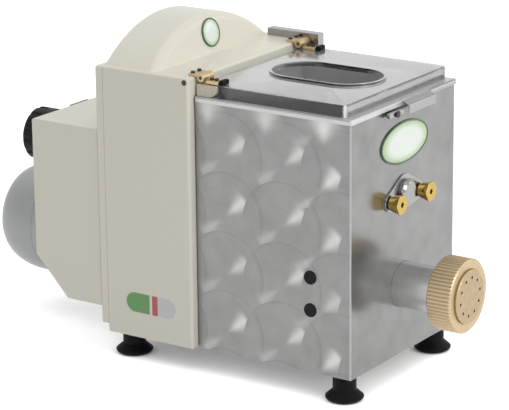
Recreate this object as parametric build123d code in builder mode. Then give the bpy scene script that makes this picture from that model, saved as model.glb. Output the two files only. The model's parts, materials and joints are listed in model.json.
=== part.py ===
from build123d import *
import os
from math import cos, pi, radians, sin, sqrt, tan

# Electric pasta maker: a stainless mixing body with an auger barrel and a brass die at the front,
# a painted column with an arched top behind it, and a hood over the motor at the back.
# +Z is up, -Y is the die end, -X is the left side. The origin is on the table, under the middle
# of the whole machine. A "depth" is a distance behind the outer face of the front panel.

# ---------------------------------------------------------------- driving dimensions, millimetres
# Steel body
body_side_step = 11.0           # steel sides stand in from the column's sides
body_depth = 210.0
foot_height = 30.0
rim_height = 335.0
panel_sheet = 1.5
base_plate_thickness = 3.0
panel_flange = 12.0
foot_flange = 5.0
base_overrun = 135.0            # base plate behind the steel body, under the column

# Painted column, hood and arch
cover_width = 252.0
cover_sheet = 1.5
seam_gap = 1.5                  # dark joint between steel body and column
column_depth = 123.0
rear_strip_depth = 12.0
column_lift = 0.5               # column edge above the underside of the steel body
strip_lift = 10.0
shelf_height = 357.0
shelf_depth = 51.5              # flat shelf in front of the arch
arch_rise = 46.0
arch_inset = 6.0
arch_lean = 12.0                # degrees that the arch's front leans back
arch_edge_radius = 12.0
cover_edge_radius = 4.0
shelf_edge_radius = 2.5
hood_inset = 2.0
hood_depth = 98.0
hood_bottom = 60.0
hood_top = 279.0
hood_chamfer_run = 46.5
hood_chamfer_rise = 49.0
hood_edge_radius = 3.0

# Feet
foot_side_inset = 15.0
front_foot_depth = 17.5
rear_foot_depth = 316.5
foot_sole_radius = 16.0
foot_disc_radius = 22.5
foot_disc_height = 5.0          # widest line of the foot's rounded disc
foot_stem_radius = 13.8
foot_flare = 0.9                # rise of the cone between disc and stem, per millimetre inwards
foot_bolt_radius = 4.0
foot_bolt_head_radius = 6.5
foot_bolt_head_height = 5.0
foot_pocket_floor = 2.0         # rubber left under the bolt head recess
foot_nut_radius = 7.5
foot_nut_height = 6.5

# Gear train: one lay shaft between the auger (below) and the mixing shaft (above)
auger_height = 114.0
gear_module = 2.0
pinion_teeth = 14
wheel_teeth = 42
tooth_addendum = 1.5
tooth_root_depth = 2.4
tooth_backlash = 0.8
flank_angle = 20.0
slow_gear_width = 12.0
fast_gear_width = 10.0
gear_side_gap = 7.0
gear_tip_gap = 4.4
gearbox_wall = 6.0
gearbox_end_wall = 8.0
gearbox_bolt_radius = 3.0
bulkhead_thickness = 4.0
bulkhead_recess = 1.0           # bulkhead's rear face in front of the panels' rear edges
bush_wall = 3.5
lay_shaft_radius = 8.0
mixer_shaft_radius = 9.0
auger_shaft_radius = 10.0
motor_shaft_radius = 9.0
running_fit = 0.05

# Mixing tub
tub_sheet = 1.5
tub_side_gap = 15.5             # side panel's inner face to the tub's upper wall
tub_front_gap = 6.5             # front panel's inner face to the tub's end wall
tub_rear_gap = 3.0              # tub's end wall to the bulkhead
channel_roof = 5.0              # metal between the auger bore and the tub's underside
tub_shoulder_drop = 60.0
tub_waist_drop = 100.0
rim_overhang = 1.2
rim_lip_height = 6.0
rim_lip_gap = 0.2
slot_width = 28.0
slot_front_depth = 24.0
slot_length = 124.0

# Extruder
barrel_radius = 27.0
barrel_bore_radius = 21.0
barrel_flange_radius = 37.0
barrel_flange_thickness = 3.0
collar_radius = 37.0
collar_length = 20.0
collar_front = 77.0             # collar's front face ahead of the front panel
housing_half_width = 25.0
housing_leg_length = 14.0
auger_running_gap = 0.6
auger_core_radius = 9.0
auger_pitch = 40.0
flight_thickness = 5.0
flight_root = 1.5               # flight sunk into the core
flight_inset = 2.0              # core left bare at each end of the flight
auger_end_gap = 3.0
thrust_bush_radius = 17.0
thrust_bush_length = 24.0
ring_radius = 43.7
ring_width = 31.0
ring_lip = 4.1
ring_grooves = 60
ring_groove_radius = 1.3
ring_edge_chamfer = 1.6
moving_gap = 0.3
die_boss_radius = 32.0
die_flange_thickness = 5.0
die_proud = 3.0
die_hole_radius = 1.9
die_hole_circle = 22.5
die_holes = 10

# Mixing shaft and its front clamp
paddle_radius = 4.5
paddle_tip_gap = 5.0
paddle_count = 5
paddle_end_gap = 24.0
bush_radius = 13.0
flange_radius = 21.0
flange_ear_radius = 10.5
flange_thickness = 2.0
hub_radius = 15.5
hub_length = 8.0
hub_rim_radius = 12.0
stud_radius = 3.0
stud_offset = 32.5
stud_drop = 6.0
stud_collar_radius = 7.5
stud_collar_length = 1.5
hand_nut_radius = 12.5
hand_nut_length = 14.2
hand_nut_neck_radius = 8.5
hand_nut_taper = 14.0
stud_recess = 2.0               # stud's end behind the nut's face
stud_head_radius = 5.5
stud_head_height = 3.0

# Motor
motor_radius = 69.0
motor_wall = 3.5
motor_front_bell_length = 16.0
motor_tube_length = 214.0
motor_end_bell_length = 62.0
motor_dome_length = 50.0        # rounded part of the end bell
motor_end_radius = 45.0         # flat end of the dome
stator_depth = 60.0             # behind the front bell's flange
stator_length = 120.0
rotor_radius = 39.0
rotor_gap = 0.8
shield_thickness = 10.0
bearing_radius = 17.5
bearing_width = 10.0
fan_radius = 50.0
fan_width = 12.0
fan_blades = 8
fan_blade_thickness = 2.5
fan_hub_radius = 16.0
fan_end_gap = 12.0
vent_rows = 3
vent_radius = 4.0
vent_row_pitch = 12.0
capacitor_radius = 18.0
capacitor_length = 70.0
capacitor_inset = 64.0
capacitor_height = 225.0

# Lid and hinges
lid_front_depth = 9.0
lid_side_inset = 3.5
lid_top_height = 350.3
lid_sheet = 3.0
lid_seat_gap = 0.4
lid_full_width_end = 180.0
lid_end_gap = 8.5               # lid's rear edge to the column
tongue_hinge_inset = 0.5
lid_corner_radius = 5.0
window_width = 80.0
window_length = 139.0
window_depth = 103.5
window_lip_width = 3.0
window_lip_height = 2.5
hinge_guard_gap = 1.0
hinge_width = 21.0
hinge_axis_gap = 7.5            # hinge pin in front of the column
hinge_axis_lift = 6.2           # hinge pin above the lid's top
knuckle_radius = 5.0
knuckle_side_gap = 0.3
moving_knuckle_width = 9.0
hinge_pin_radius = 2.0
hinge_leaf_thickness = 3.5
lid_leaf_length = 23.0
shelf_leaf_length = 9.0
hinge_screw_head_radius = 2.6
hinge_screw_head_height = 2.2
hinge_screw_pitch = 6.5
buffer_length = 6.0
buffer_inset = 4.0
leaf_inset = 2.0
buffer_height = 5.5
cheek_thickness = 10.5
cheek_gap = 1.0
cheek_round_drop = 2.0

# Lid switch on the right
guard_width = 12.5
guard_sheet = 1.2
guard_front_gap = 23.0          # guard's nose in front of the column
guard_arch_gap = 0.5
guard_nose_drop = 13.0
guard_top_rise = 9.0
cam_radius = 5.4
cam_throw = 1.4
cam_width = 4.0
microswitch_length = 24.0
microswitch_width = 8.0
microswitch_height = 6.5
microswitch_setback = 10.5
plunger_radius = 1.5
plunger_travel = 1.0
plunger_gap = 0.5

# Controls on the hood's back
knob_radius = 32.5
knob_length = 28.5
knob_gap = 1.5
knob_inset = 49.0
knob_height = 246.0
knob_flutes = 12
knob_flute_radius = 5.0
spindle_radius = 4.0
switch_body_size = 44.0
switch_body_length = 28.0
switch_neck_radius = 7.0
spindle_depth = 18.0
button_knob_spacing = 55.0
button_height = 248.0
bezel_width = 42.0
bezel_height = 50.0
bezel_corner = 6.0
bezel_length = 12.0
button_radius = 17.5
button_proud = 3.0
button_travel = 4.0
button_stem_radius = 4.0
button_stem_length = 26.0
button_block_size = 34.0
button_block_length = 26.0
gland_inset = 29.0
gland_height = 140.0
gland_radius = 12.0
gland_base_length = 6.0
gland_dome_length = 14.0
gland_neck_radius = 8.0
gland_bore_radius = 4.0
gland_nut_length = 5.0

# Badges, plugs, latch and screws
oval_badge_width = 104.0
oval_badge_height = 50.0
oval_badge_drop = 50.0
badge_thickness = 2.0
round_badge_radius = 17.5
round_badge_rise = 24.0
label_length = 73.0
label_height = 25.0
label_thickness = 0.8
label_inset = 59.0
label_centre = 74.5
plug_depth = 54.0
plug_heights = (144.0, 105.0)
plug_head_radius = 8.2
plug_neck_radius = 6.5
plug_head_thickness = 1.2
plug_neck_length = 5.0
latch_offset = -28.5
latch_drop = 10.5
latch_length = 32.0
latch_height = 6.0
latch_thickness = 5.0
latch_badge_gap = 0.6           # latch clear of the badge that it swings across
latch_screw_radius = 2.0
tab_left = -5.5
tab_width = 59.0
tab_projection = 9.0
tab_height = 15.0
tab_sheet = 1.5
cover_screw_head_radius = 3.2
cover_screw_radius = 2.0
cover_screw_inset = 5.5
cover_screw_drop = 5.0
strip_screw_inset = 8.0

# ------------------------------------------------------------------------------- derived values
gear_centres = gear_module * (pinion_teeth + wheel_teeth) / 2
lay_height = auger_height + gear_centres
mixer_height = lay_height + gear_centres
base_top = foot_height + base_plate_thickness
panel_top = rim_height - tub_sheet
body_width = cover_width - 2 * body_side_step
half_body = body_width / 2
half_cover = cover_width / 2
foot_side_offset = half_body - foot_side_inset
lid_half_width = half_body - lid_side_inset
guard_inner = half_cover - guard_width
hinge_offset = guard_inner - hinge_guard_gap - hinge_width / 2
lid_tongue_half_width = hinge_offset - tongue_hinge_inset

column_front = body_depth + seam_gap
column_back = column_front + column_depth
strip_back = column_back + rear_strip_depth
hood_back = strip_back + hood_depth
arch_front = column_front + shelf_depth
half_hood = half_cover - hood_inset
knob_offset = half_hood - knob_inset
button_offset = knob_offset - button_knob_spacing
gland_offset = half_hood - gland_inset
capacitor_offset = half_hood - capacitor_inset
cover_screw_depth = column_front + cover_screw_inset
cover_screw_height = shelf_height - cover_screw_drop
label_depth = column_front + label_inset
oval_badge_centre = rim_height - oval_badge_drop

bulkhead_back = body_depth - bulkhead_recess
bulkhead_front = bulkhead_back - bulkhead_thickness
tub_front = panel_sheet + tub_front_gap
tub_back = bulkhead_front - tub_rear_gap
tub_outer_radius = mixer_height - auger_height - barrel_bore_radius - channel_roof
tub_radius = tub_outer_radius - tub_sheet
tub_upper_half_width = half_body - panel_sheet - tub_side_gap

slow_gear_front = bulkhead_back + gearbox_end_wall + gear_side_gap
slow_gear_back = slow_gear_front + slow_gear_width
fast_gear_front = slow_gear_back + gear_side_gap
fast_gear_back = fast_gear_front + fast_gear_width
gearbox_cover_front = fast_gear_back + gear_side_gap
gearbox_back = gearbox_cover_front + gearbox_end_wall
wheel_tip_radius = gear_module * wheel_teeth / 2 + tooth_addendum
gearbox_cavity_radius = wheel_tip_radius + gear_tip_gap
gearbox_radius = gearbox_cavity_radius + gearbox_wall

collar_back = -collar_front + collar_length
ring_front = -(collar_front + die_flange_thickness + moving_gap + ring_lip)
ring_back = ring_front + ring_width
die_front = ring_front - die_proud
ring_bore_radius = collar_radius + moving_gap
ring_lip_radius = die_boss_radius + moving_gap
housing_front = panel_sheet + moving_gap + barrel_flange_thickness
flight_radius = barrel_bore_radius - auger_running_gap
auger_front = -collar_front + auger_end_gap
thrust_bush_front = bulkhead_front - thrust_bush_length
flight_back = thrust_bush_front - auger_end_gap

motor_tube_front = gearbox_back + motor_front_bell_length
motor_tube_back = motor_tube_front + motor_tube_length
motor_back = motor_tube_back + motor_end_bell_length
motor_bore = motor_radius - motor_wall
stator_front = gearbox_back + stator_depth
stator_back = stator_front + stator_length
fan_back = motor_back - motor_wall - fan_end_gap
motor_shaft_front = fast_gear_front - moving_gap
auger_shaft_back = slow_gear_back + moving_gap

hinge_depth = column_front - hinge_axis_gap
hinge_height = lid_top_height + hinge_axis_lift
lid_back = column_front - lid_end_gap
lid_bottom = rim_height + lid_seat_gap
guard_front = column_front - guard_front_gap
guard_back = arch_front - guard_arch_gap
guard_top = shelf_height + guard_top_rise
guard_nose_bottom = shelf_height - guard_nose_drop

# The machine is centred on the origin between the die's face and the end of the motor.
front_y = -(motor_back + die_front) / 2


def section(depth):
    """Upright plane across the machine: local x is +X, local y is +Z, and its normal is -Y."""
    return Plane(origin=(0, front_y + depth, 0), x_dir=(1, 0, 0), z_dir=(0, -1, 0))


def level(height):
    """Horizontal plane at a height: local x is +X, and local y is +Y."""
    return Plane.XY.offset(height)


def side(offset):
    """Upright plane along the machine: local x is +Y, local y is +Z, and its normal is +X."""
    return Plane.YZ.offset(offset)


def at(depth):
    """Y coordinate of a depth behind the front panel's face."""
    return front_y + depth


pieces = {}

# ---------------------------------------------------------------------------- base, feet, frame
foot_places = [
    (x, at(depth))
    for x in (-foot_side_offset, foot_side_offset)
    for depth in (front_foot_depth, rear_foot_depth)
]
base_back = body_depth + base_overrun
base_half_width = half_body - panel_sheet - moving_gap

with BuildPart() as base_plate:
    with BuildSketch(level(foot_height)):
        with Locations((0, at((panel_sheet + moving_gap + base_back) / 2))):
            Rectangle(2 * base_half_width, base_back - panel_sheet - moving_gap)
        with Locations(*foot_places):
            Circle(foot_bolt_radius + moving_gap, mode=Mode.SUBTRACT)
    extrude(amount=base_plate_thickness)
pieces["base_plate"] = base_plate

foot_waist_height = foot_disc_height + (foot_disc_radius - foot_stem_radius) * foot_flare
with BuildPart() as rubber_feet:
    for foot_x, foot_y in foot_places:
        with BuildSketch(Plane(origin=(foot_x, foot_y, 0), x_dir=(1, 0, 0), z_dir=(0, -1, 0))):
            with BuildLine():
                EllipticalCenterArc(
                    (foot_sole_radius, foot_disc_height),
                    foot_disc_radius - foot_sole_radius,
                    foot_disc_height,
                    start_angle=270,
                    arc_size=90,
                )
                Polyline(
                    (foot_disc_radius, foot_disc_height),
                    (foot_stem_radius, foot_waist_height),
                    (foot_stem_radius, foot_height),
                    (foot_bolt_radius, foot_height),
                    (foot_bolt_radius, foot_pocket_floor + foot_bolt_head_height),
                    (foot_bolt_head_radius, foot_pocket_floor + foot_bolt_head_height),
                    (foot_bolt_head_radius, 0),
                    (foot_sole_radius, 0),
                )
            make_face()
        revolve(axis=Axis((foot_x, foot_y, 0), (0, 0, 1)))
pieces["rubber_feet"] = rubber_feet

foot_nut_top = base_top + foot_nut_height
with BuildPart() as foot_bolts:
    with BuildSketch(level(foot_pocket_floor)):
        with Locations(*foot_places):
            Circle(foot_bolt_head_radius)
    extrude(amount=foot_bolt_head_height)
    with BuildSketch(level(foot_pocket_floor)):
        with Locations(*foot_places):
            Circle(foot_bolt_radius)
    extrude(amount=foot_nut_top + 2 - foot_pocket_floor)
    with BuildSketch(level(base_top)):
        with Locations(*foot_places):
            RegularPolygon(foot_nut_radius, 6)
    extrude(amount=foot_nut_height)
pieces["foot_bolts"] = foot_bolts


def side_panel_outline(sign):
    """L of the side wall and its foot flange, seen from the front; the flange sits on the base."""
    outer = sign * half_body
    inner = sign * (half_body - panel_sheet)
    flange_end = sign * (half_body - panel_sheet - foot_flange)
    Polygon(
        (outer, foot_height),
        (outer, panel_top),
        (inner, panel_top),
        (inner, base_top + panel_sheet),
        (flange_end, base_top + panel_sheet),
        (flange_end, base_top),
        (inner, base_top),
        (inner, foot_height),
        align=None,
    )


with BuildPart() as left_side_panel:
    with BuildSketch(section(body_depth)):
        side_panel_outline(-1)
    extrude(amount=body_depth - panel_sheet)
    with BuildSketch(side(-half_body - 1)):
        with Locations(*[(at(plug_depth), height) for height in plug_heights]):
            Circle(plug_neck_radius + 0.2)
    extrude(amount=panel_sheet + 2, mode=Mode.SUBTRACT)
pieces["left_side_panel"] = left_side_panel

with BuildPart() as right_side_panel:
    with BuildSketch(section(body_depth)):
        side_panel_outline(1)
    extrude(amount=body_depth - panel_sheet)
pieces["right_side_panel"] = right_side_panel

stud_places = [(x, mixer_height - stud_drop) for x in (-stud_offset, stud_offset)]
with BuildPart() as front_panel:
    with BuildSketch(section(panel_sheet)):
        with Locations((0, (foot_height + panel_top) / 2)):
            Rectangle(body_width, panel_top - foot_height)
        with Locations((0, auger_height)):
            Circle(barrel_radius + moving_gap, mode=Mode.SUBTRACT)
        with Locations((0, mixer_height)):
            Circle(bush_radius + moving_gap, mode=Mode.SUBTRACT)
        with Locations(*stud_places):
            Circle(stud_radius + moving_gap, mode=Mode.SUBTRACT)
    extrude(amount=panel_sheet)
    return_half_width = half_body - panel_sheet - moving_gap
    return_bottom = base_top + 2 * panel_sheet
    for sign in (-1, 1):
        with BuildSketch(section(panel_sheet + panel_flange)):
            with Locations(
                (sign * (return_half_width - panel_sheet / 2), (return_bottom + panel_top) / 2)
            ):
                Rectangle(panel_sheet, panel_top - return_bottom)
        extrude(amount=panel_flange)
pieces["front_panel"] = front_panel

bulkhead_holes = [
    (auger_height, auger_shaft_radius + bush_wall),
    (lay_height, lay_shaft_radius + bush_wall),
    (mixer_height, bush_radius + moving_gap),
]
with BuildPart() as bulkhead:
    with BuildSketch(section(bulkhead_back)):
        with Locations((0, (base_top + panel_top) / 2)):
            Rectangle(2 * (half_body - panel_sheet - panel_flange), panel_top - base_top)
        for height, radius in bulkhead_holes:
            with Locations((0, height)):
                Circle(radius, mode=Mode.SUBTRACT)
    extrude(amount=bulkhead_thickness)
pieces["bulkhead"] = bulkhead


# -------------------------------------------------------------------------------------- tub
def tub_outline(wall):
    """U of the tub, seen from the front: straight upper walls, sloping shoulders, round bottom."""
    shoulder = rim_height - tub_shoulder_drop
    waist = rim_height - tub_waist_drop
    upper = tub_upper_half_width + wall
    lower = tub_radius + wall
    Polygon(
        (-lower, mixer_height),
        (-lower, waist),
        (-upper, shoulder),
        (-upper, rim_height),
        (upper, rim_height),
        (upper, shoulder),
        (lower, waist),
        (lower, mixer_height),
        align=None,
    )
    with Locations((0, mixer_height)):
        Circle(lower)


rim_half_width = half_body + rim_lip_gap + rim_overhang
rim_front = -rim_lip_gap - rim_overhang
rim_back = body_depth - bulkhead_recess
rim_bottom = rim_height - rim_lip_height
with BuildPart() as mixing_tub:
    with BuildSketch(section(tub_back)):
        tub_outline(tub_sheet)
    extrude(amount=tub_back - tub_front)
    with BuildSketch(level(rim_bottom)):
        with Locations((0, at((rim_front + rim_back) / 2))):
            Rectangle(2 * rim_half_width, rim_back - rim_front)
    extrude(amount=rim_lip_height)
    with BuildSketch(level(rim_bottom)):
        under_rim_front = rim_front + rim_overhang
        with Locations((0, at((under_rim_front + rim_back) / 2))):
            Rectangle(2 * (half_body + rim_lip_gap), rim_back - under_rim_front)
        with Locations((0, at((tub_front + tub_back) / 2))):
            Rectangle(
                2 * (tub_upper_half_width + tub_sheet), tub_back - tub_front, mode=Mode.SUBTRACT
            )
    extrude(amount=rim_lip_height - tub_sheet, mode=Mode.SUBTRACT)
    with BuildSketch(section(tub_back - tub_sheet)):
        tub_outline(0)
    extrude(amount=tub_back - tub_front - 2 * tub_sheet, mode=Mode.SUBTRACT)
    with BuildSketch(level(auger_height)):
        with Locations((0, at(slot_front_depth + slot_length / 2))):
            Rectangle(slot_width, slot_length)
    extrude(amount=mixer_height - auger_height, mode=Mode.SUBTRACT)
    with BuildSketch(section(tub_back + 1)):
        with Locations((0, mixer_height)):
            Circle(bush_radius + moving_gap)
    extrude(amount=tub_back - tub_front + 2, mode=Mode.SUBTRACT)
pieces["mixing_tub"] = mixing_tub

# -------------------------------------------------------------------------------- extruder
housing_top = mixer_height - tub_outer_radius - moving_gap
housing_legs = (housing_front + 2 * housing_leg_length, bulkhead_front - 2 * housing_leg_length)
with BuildPart() as auger_housing:
    with BuildSketch(section(bulkhead_front)):
        with Locations((0, auger_height)):
            Circle(housing_half_width)
        with Locations((0, (auger_height + housing_top) / 2)):
            Rectangle(2 * housing_half_width, housing_top - auger_height)
    extrude(amount=bulkhead_front - housing_front)
    with BuildSketch(level(base_top)):
        with Locations(*[(0, at(depth)) for depth in housing_legs]):
            Rectangle(1.6 * housing_half_width, housing_leg_length)
    extrude(amount=auger_height - base_top)
    with BuildSketch(section(thrust_bush_front)):
        with Locations((0, auger_height)):
            Circle(barrel_bore_radius)
    extrude(amount=thrust_bush_front - housing_front, mode=Mode.SUBTRACT)
    with BuildSketch(section(bulkhead_front)):
        with Locations((0, auger_height)):
            Circle(thrust_bush_radius)
    extrude(amount=thrust_bush_length, mode=Mode.SUBTRACT)
    with BuildSketch(level(auger_height)):
        with Locations((0, at(slot_front_depth + slot_length / 2))):
            Rectangle(slot_width, slot_length)
    extrude(amount=housing_top - auger_height, mode=Mode.SUBTRACT)
pieces["auger_housing"] = auger_housing

barrel_seat_radius = barrel_radius + running_fit
with BuildPart() as extrusion_barrel:
    with BuildSketch(section(housing_front)):
        with Locations((0, auger_height)):
            Circle(barrel_radius)
            Circle(barrel_bore_radius, mode=Mode.SUBTRACT)
    extrude(amount=housing_front + collar_front)
    with BuildSketch(section(housing_front)):
        with Locations((0, auger_height)):
            Circle(barrel_flange_radius)
            Circle(barrel_seat_radius, mode=Mode.SUBTRACT)
    extrude(amount=barrel_flange_thickness)
    with BuildSketch(section(collar_back)):
        with Locations((0, auger_height)):
            Circle(collar_radius)
            Circle(barrel_seat_radius, mode=Mode.SUBTRACT)
    extrude(amount=collar_length)
pieces["extrusion_barrel"] = extrusion_barrel

ring_axis = Axis((0, 0, auger_height), (0, 1, 0))
with BuildPart() as ring_nut:
    with BuildSketch(section(ring_back)):
        with Locations((0, auger_height)):
            Circle(ring_radius)
            with PolarLocations(ring_radius + 0.4 * ring_groove_radius, ring_grooves):
                Circle(ring_groove_radius, mode=Mode.SUBTRACT)
    extrude(amount=ring_width)
    with BuildSketch(side(0)):
        front_edge = at(ring_front)
        back_edge = at(ring_back)
        Polygon(
            (front_edge - 1, auger_height + ring_radius - ring_edge_chamfer - 1),
            (front_edge + ring_edge_chamfer + 1, auger_height + ring_radius + 1),
            (front_edge - 1, auger_height + ring_radius + 1),
            align=None,
        )
        Polygon(
            (back_edge + 1, auger_height + ring_radius - ring_edge_chamfer - 1),
            (back_edge + 1, auger_height + ring_radius + 1),
            (back_edge - ring_edge_chamfer - 1, auger_height + ring_radius + 1),
            align=None,
        )
    revolve(axis=ring_axis, mode=Mode.SUBTRACT)
    with BuildSketch(section(ring_back)):
        with Locations((0, auger_height)):
            Circle(ring_bore_radius)
    extrude(amount=ring_width - ring_lip, mode=Mode.SUBTRACT)
    with BuildSketch(section(ring_back)):
        with Locations((0, auger_height)):
            Circle(ring_lip_radius)
    extrude(amount=ring_width, mode=Mode.SUBTRACT)
pieces["ring_nut"] = ring_nut

with BuildPart() as brass_die:
    with BuildSketch(section(-collar_front)):
        with Locations((0, auger_height)):
            Circle(collar_radius)
    extrude(amount=die_flange_thickness)
    with BuildSketch(section(-collar_front)):
        with Locations((0, auger_height)):
            Circle(die_boss_radius)
    extrude(amount=-collar_front - die_front)
    chamfer(
        brass_die.faces().sort_by(Axis.Y)[0].edges(), length=0.8
    )
    with BuildSketch(section(-collar_front)):
        with Locations((0, auger_height)):
            with PolarLocations(die_hole_circle, die_holes, start_angle=90 / die_holes):
                Circle(die_hole_radius)
    extrude(amount=-collar_front - die_front, mode=Mode.SUBTRACT)
    with BuildSketch(section(-collar_front)):
        with Locations((0, auger_height)):
            Circle(barrel_bore_radius - 2)
    extrude(amount=die_flange_thickness - 1, mode=Mode.SUBTRACT)
pieces["brass_die"] = brass_die

core_length = flight_back - auger_front
with BuildPart() as auger_screw:
    with BuildSketch(section(flight_back)):
        with Locations((0, auger_height)):
            Circle(auger_core_radius)
    extrude(amount=core_length)
    with BuildSketch(section(auger_shaft_back)):
        with Locations((0, auger_height)):
            Circle(auger_shaft_radius)
    extrude(amount=auger_shaft_back - flight_back)
    with BuildLine():
        flight_path = Helix(
            auger_pitch,
            core_length - flight_thickness - 2 * flight_inset,
            auger_core_radius,
            center=(0, at(flight_back - flight_inset - flight_thickness / 2), auger_height),
            direction=(0, -1, 0),
        )
    flight_start = flight_path @ 0
    flight_out = Vector(flight_start.X, 0, flight_start.Z - auger_height).normalized()
    with BuildSketch(
        Plane(origin=flight_start, x_dir=flight_out, z_dir=flight_out.cross(Vector(0, 1, 0)))
    ):
        with Locations(((flight_radius - auger_core_radius - flight_root) / 2, 0)):
            Rectangle(flight_radius - auger_core_radius + flight_root, flight_thickness)
    sweep(is_frenet=True)
pieces["auger_screw"] = auger_screw


# ------------------------------------------------------------------------------------- gears
def gear_outline(teeth, bore_radius, first_angle):
    """Straight-flanked gear with play; first_angle turns the first tooth from local +x."""
    pitch_radius = gear_module * teeth / 2
    root_radius = pitch_radius - tooth_root_depth
    half_thickness = (pi * gear_module / 2 - tooth_backlash) / 2
    tip_half = half_thickness - tooth_addendum * tan(radians(flank_angle))
    root_half = half_thickness + tooth_root_depth * tan(radians(flank_angle))
    Circle(root_radius)
    with PolarLocations(pitch_radius, teeth, start_angle=first_angle):
        Polygon(
            (-tooth_root_depth - 1, -root_half),
            (-tooth_root_depth, -root_half),
            (tooth_addendum, -tip_half),
            (tooth_addendum, tip_half),
            (-tooth_root_depth, root_half),
            (-tooth_root_depth - 1, root_half),
            align=None,
        )
    if bore_radius > 0:
        Circle(bore_radius, mode=Mode.SUBTRACT)


# A pinion has a tooth straight up, and a wheel has a gap there, so each pair meshes at rest.
half_pitch_of_wheel = 180 / wheel_teeth
gear_list = {
    "motor_pinion": (auger_height, pinion_teeth, motor_shaft_radius, 90, fast_gear_back, fast_gear_width),
    "lay_wheel": (
        lay_height, wheel_teeth, lay_shaft_radius, 90 + half_pitch_of_wheel, fast_gear_back,
        fast_gear_width,
    ),
    "auger_wheel": (
        auger_height, wheel_teeth, auger_shaft_radius, 90 + half_pitch_of_wheel, slow_gear_back,
        slow_gear_width,
    ),
    "mixer_wheel": (
        mixer_height, wheel_teeth, mixer_shaft_radius, 90 + half_pitch_of_wheel, slow_gear_back,
        slow_gear_width,
    ),
}
for gear_name, (height, teeth, bore, first_angle, back, width) in gear_list.items():
    with BuildPart() as gear:
        with BuildSketch(section(back)):
            with Locations((0, height)):
                gear_outline(teeth, bore, first_angle)
        extrude(amount=width)
    pieces[gear_name] = gear

with BuildPart() as lay_shaft:
    with BuildSketch(section(gearbox_back - 1)):
        with Locations((0, lay_height)):
            Circle(lay_shaft_radius)
    extrude(amount=gearbox_back - bulkhead_back - 2)
    with BuildSketch(section(slow_gear_back)):
        with Locations((0, lay_height)):
            gear_outline(pinion_teeth, 0, 90)
    extrude(amount=slow_gear_width)
pieces["lay_shaft"] = lay_shaft

with BuildPart() as gearbox_case:
    with BuildSketch(section(gearbox_cover_front)):
        with Locations((0, lay_height)):
            SlotCenterToCenter(2 * gear_centres, 2 * gearbox_radius, rotation=90)
    extrude(amount=gearbox_cover_front - bulkhead_back)
    with BuildSketch(section(gearbox_cover_front)):
        with Locations((0, lay_height)):
            SlotCenterToCenter(2 * gear_centres, 2 * gearbox_cavity_radius, rotation=90)
    extrude(amount=gearbox_cover_front - bulkhead_back - gearbox_end_wall, mode=Mode.SUBTRACT)
    with BuildSketch(section(gearbox_cover_front)):
        for height, radius in (
            (auger_height, auger_shaft_radius),
            (lay_height, lay_shaft_radius),
            (mixer_height, mixer_shaft_radius),
        ):
            with Locations((0, height)):
                Circle(radius + bush_wall)
    extrude(amount=gearbox_cover_front - bulkhead_back, mode=Mode.SUBTRACT)
pieces["gearbox_case"] = gearbox_case

gearbox_bolt_circle = gearbox_cavity_radius + gearbox_wall / 2
gearbox_bolt_places = [
    (gearbox_bolt_circle * cos(radians(angle)), mixer_height + gearbox_bolt_circle * sin(radians(angle)))
    for angle in (0, 60, 120, 180)
]
with BuildPart() as gearbox_cover:
    with BuildSketch(section(gearbox_back)):
        with Locations((0, lay_height)):
            SlotCenterToCenter(2 * gear_centres, 2 * gearbox_radius, rotation=90)
        with Locations((0, lay_height)):
            Circle(lay_shaft_radius + bush_wall, mode=Mode.SUBTRACT)
        with Locations((0, mixer_height)):
            Circle(mixer_shaft_radius + bush_wall, mode=Mode.SUBTRACT)
        with Locations((0, auger_height)):
            Circle(motor_shaft_radius + bush_wall, mode=Mode.SUBTRACT)
    extrude(amount=gearbox_end_wall)
    with BuildSketch(section(gearbox_back + 2 * gearbox_bolt_radius)):
        with Locations(*gearbox_bolt_places):
            RegularPolygon(2 * gearbox_bolt_radius, 6)
    extrude(amount=2 * gearbox_bolt_radius)
pieces["gearbox_cover"] = gearbox_cover

# ------------------------------------------------------------------------------ mixing shaft
mixer_shaft_front = -(flange_thickness + hub_length) + 2
paddle_reach = tub_radius - paddle_tip_gap
paddle_span = tub_back - tub_front - 2 * tub_sheet - 2 * paddle_end_gap
with BuildPart() as mixing_shaft:
    with BuildSketch(section(gearbox_back - 1)):
        with Locations((0, mixer_height)):
            Circle(mixer_shaft_radius)
    extrude(amount=gearbox_back - 1 - mixer_shaft_front)
    for number in range(paddle_count):
        paddle_depth = tub_front + tub_sheet + paddle_end_gap
        paddle_depth += number * paddle_span / (paddle_count - 1)
        lean = radians(18 + 180 / paddle_count * number)
        across = (cos(lean), 0, sin(lean))
        start = (
            -paddle_reach * across[0], at(paddle_depth), mixer_height - paddle_reach * across[2]
        )
        bar_start = Plane(origin=start, z_dir=across)
        with BuildSketch(bar_start):
            Circle(paddle_radius + running_fit)
        extrude(amount=2 * paddle_reach, mode=Mode.SUBTRACT)
        with BuildSketch(bar_start):
            Circle(paddle_radius)
        extrude(amount=2 * paddle_reach)
pieces["mixing_shaft"] = mixing_shaft

with BuildPart() as mixer_flange:
    with BuildSketch(section(0)):
        with Locations((0, mixer_height)):
            Circle(flange_radius)
        with Locations(*stud_places):
            Circle(flange_ear_radius)
        make_hull()
        with Locations((0, mixer_height)):
            Circle(bush_radius, mode=Mode.SUBTRACT)
        with Locations(*stud_places):
            Circle(stud_radius, mode=Mode.SUBTRACT)
    extrude(amount=flange_thickness)
pieces["mixer_flange"] = mixer_flange

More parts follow.
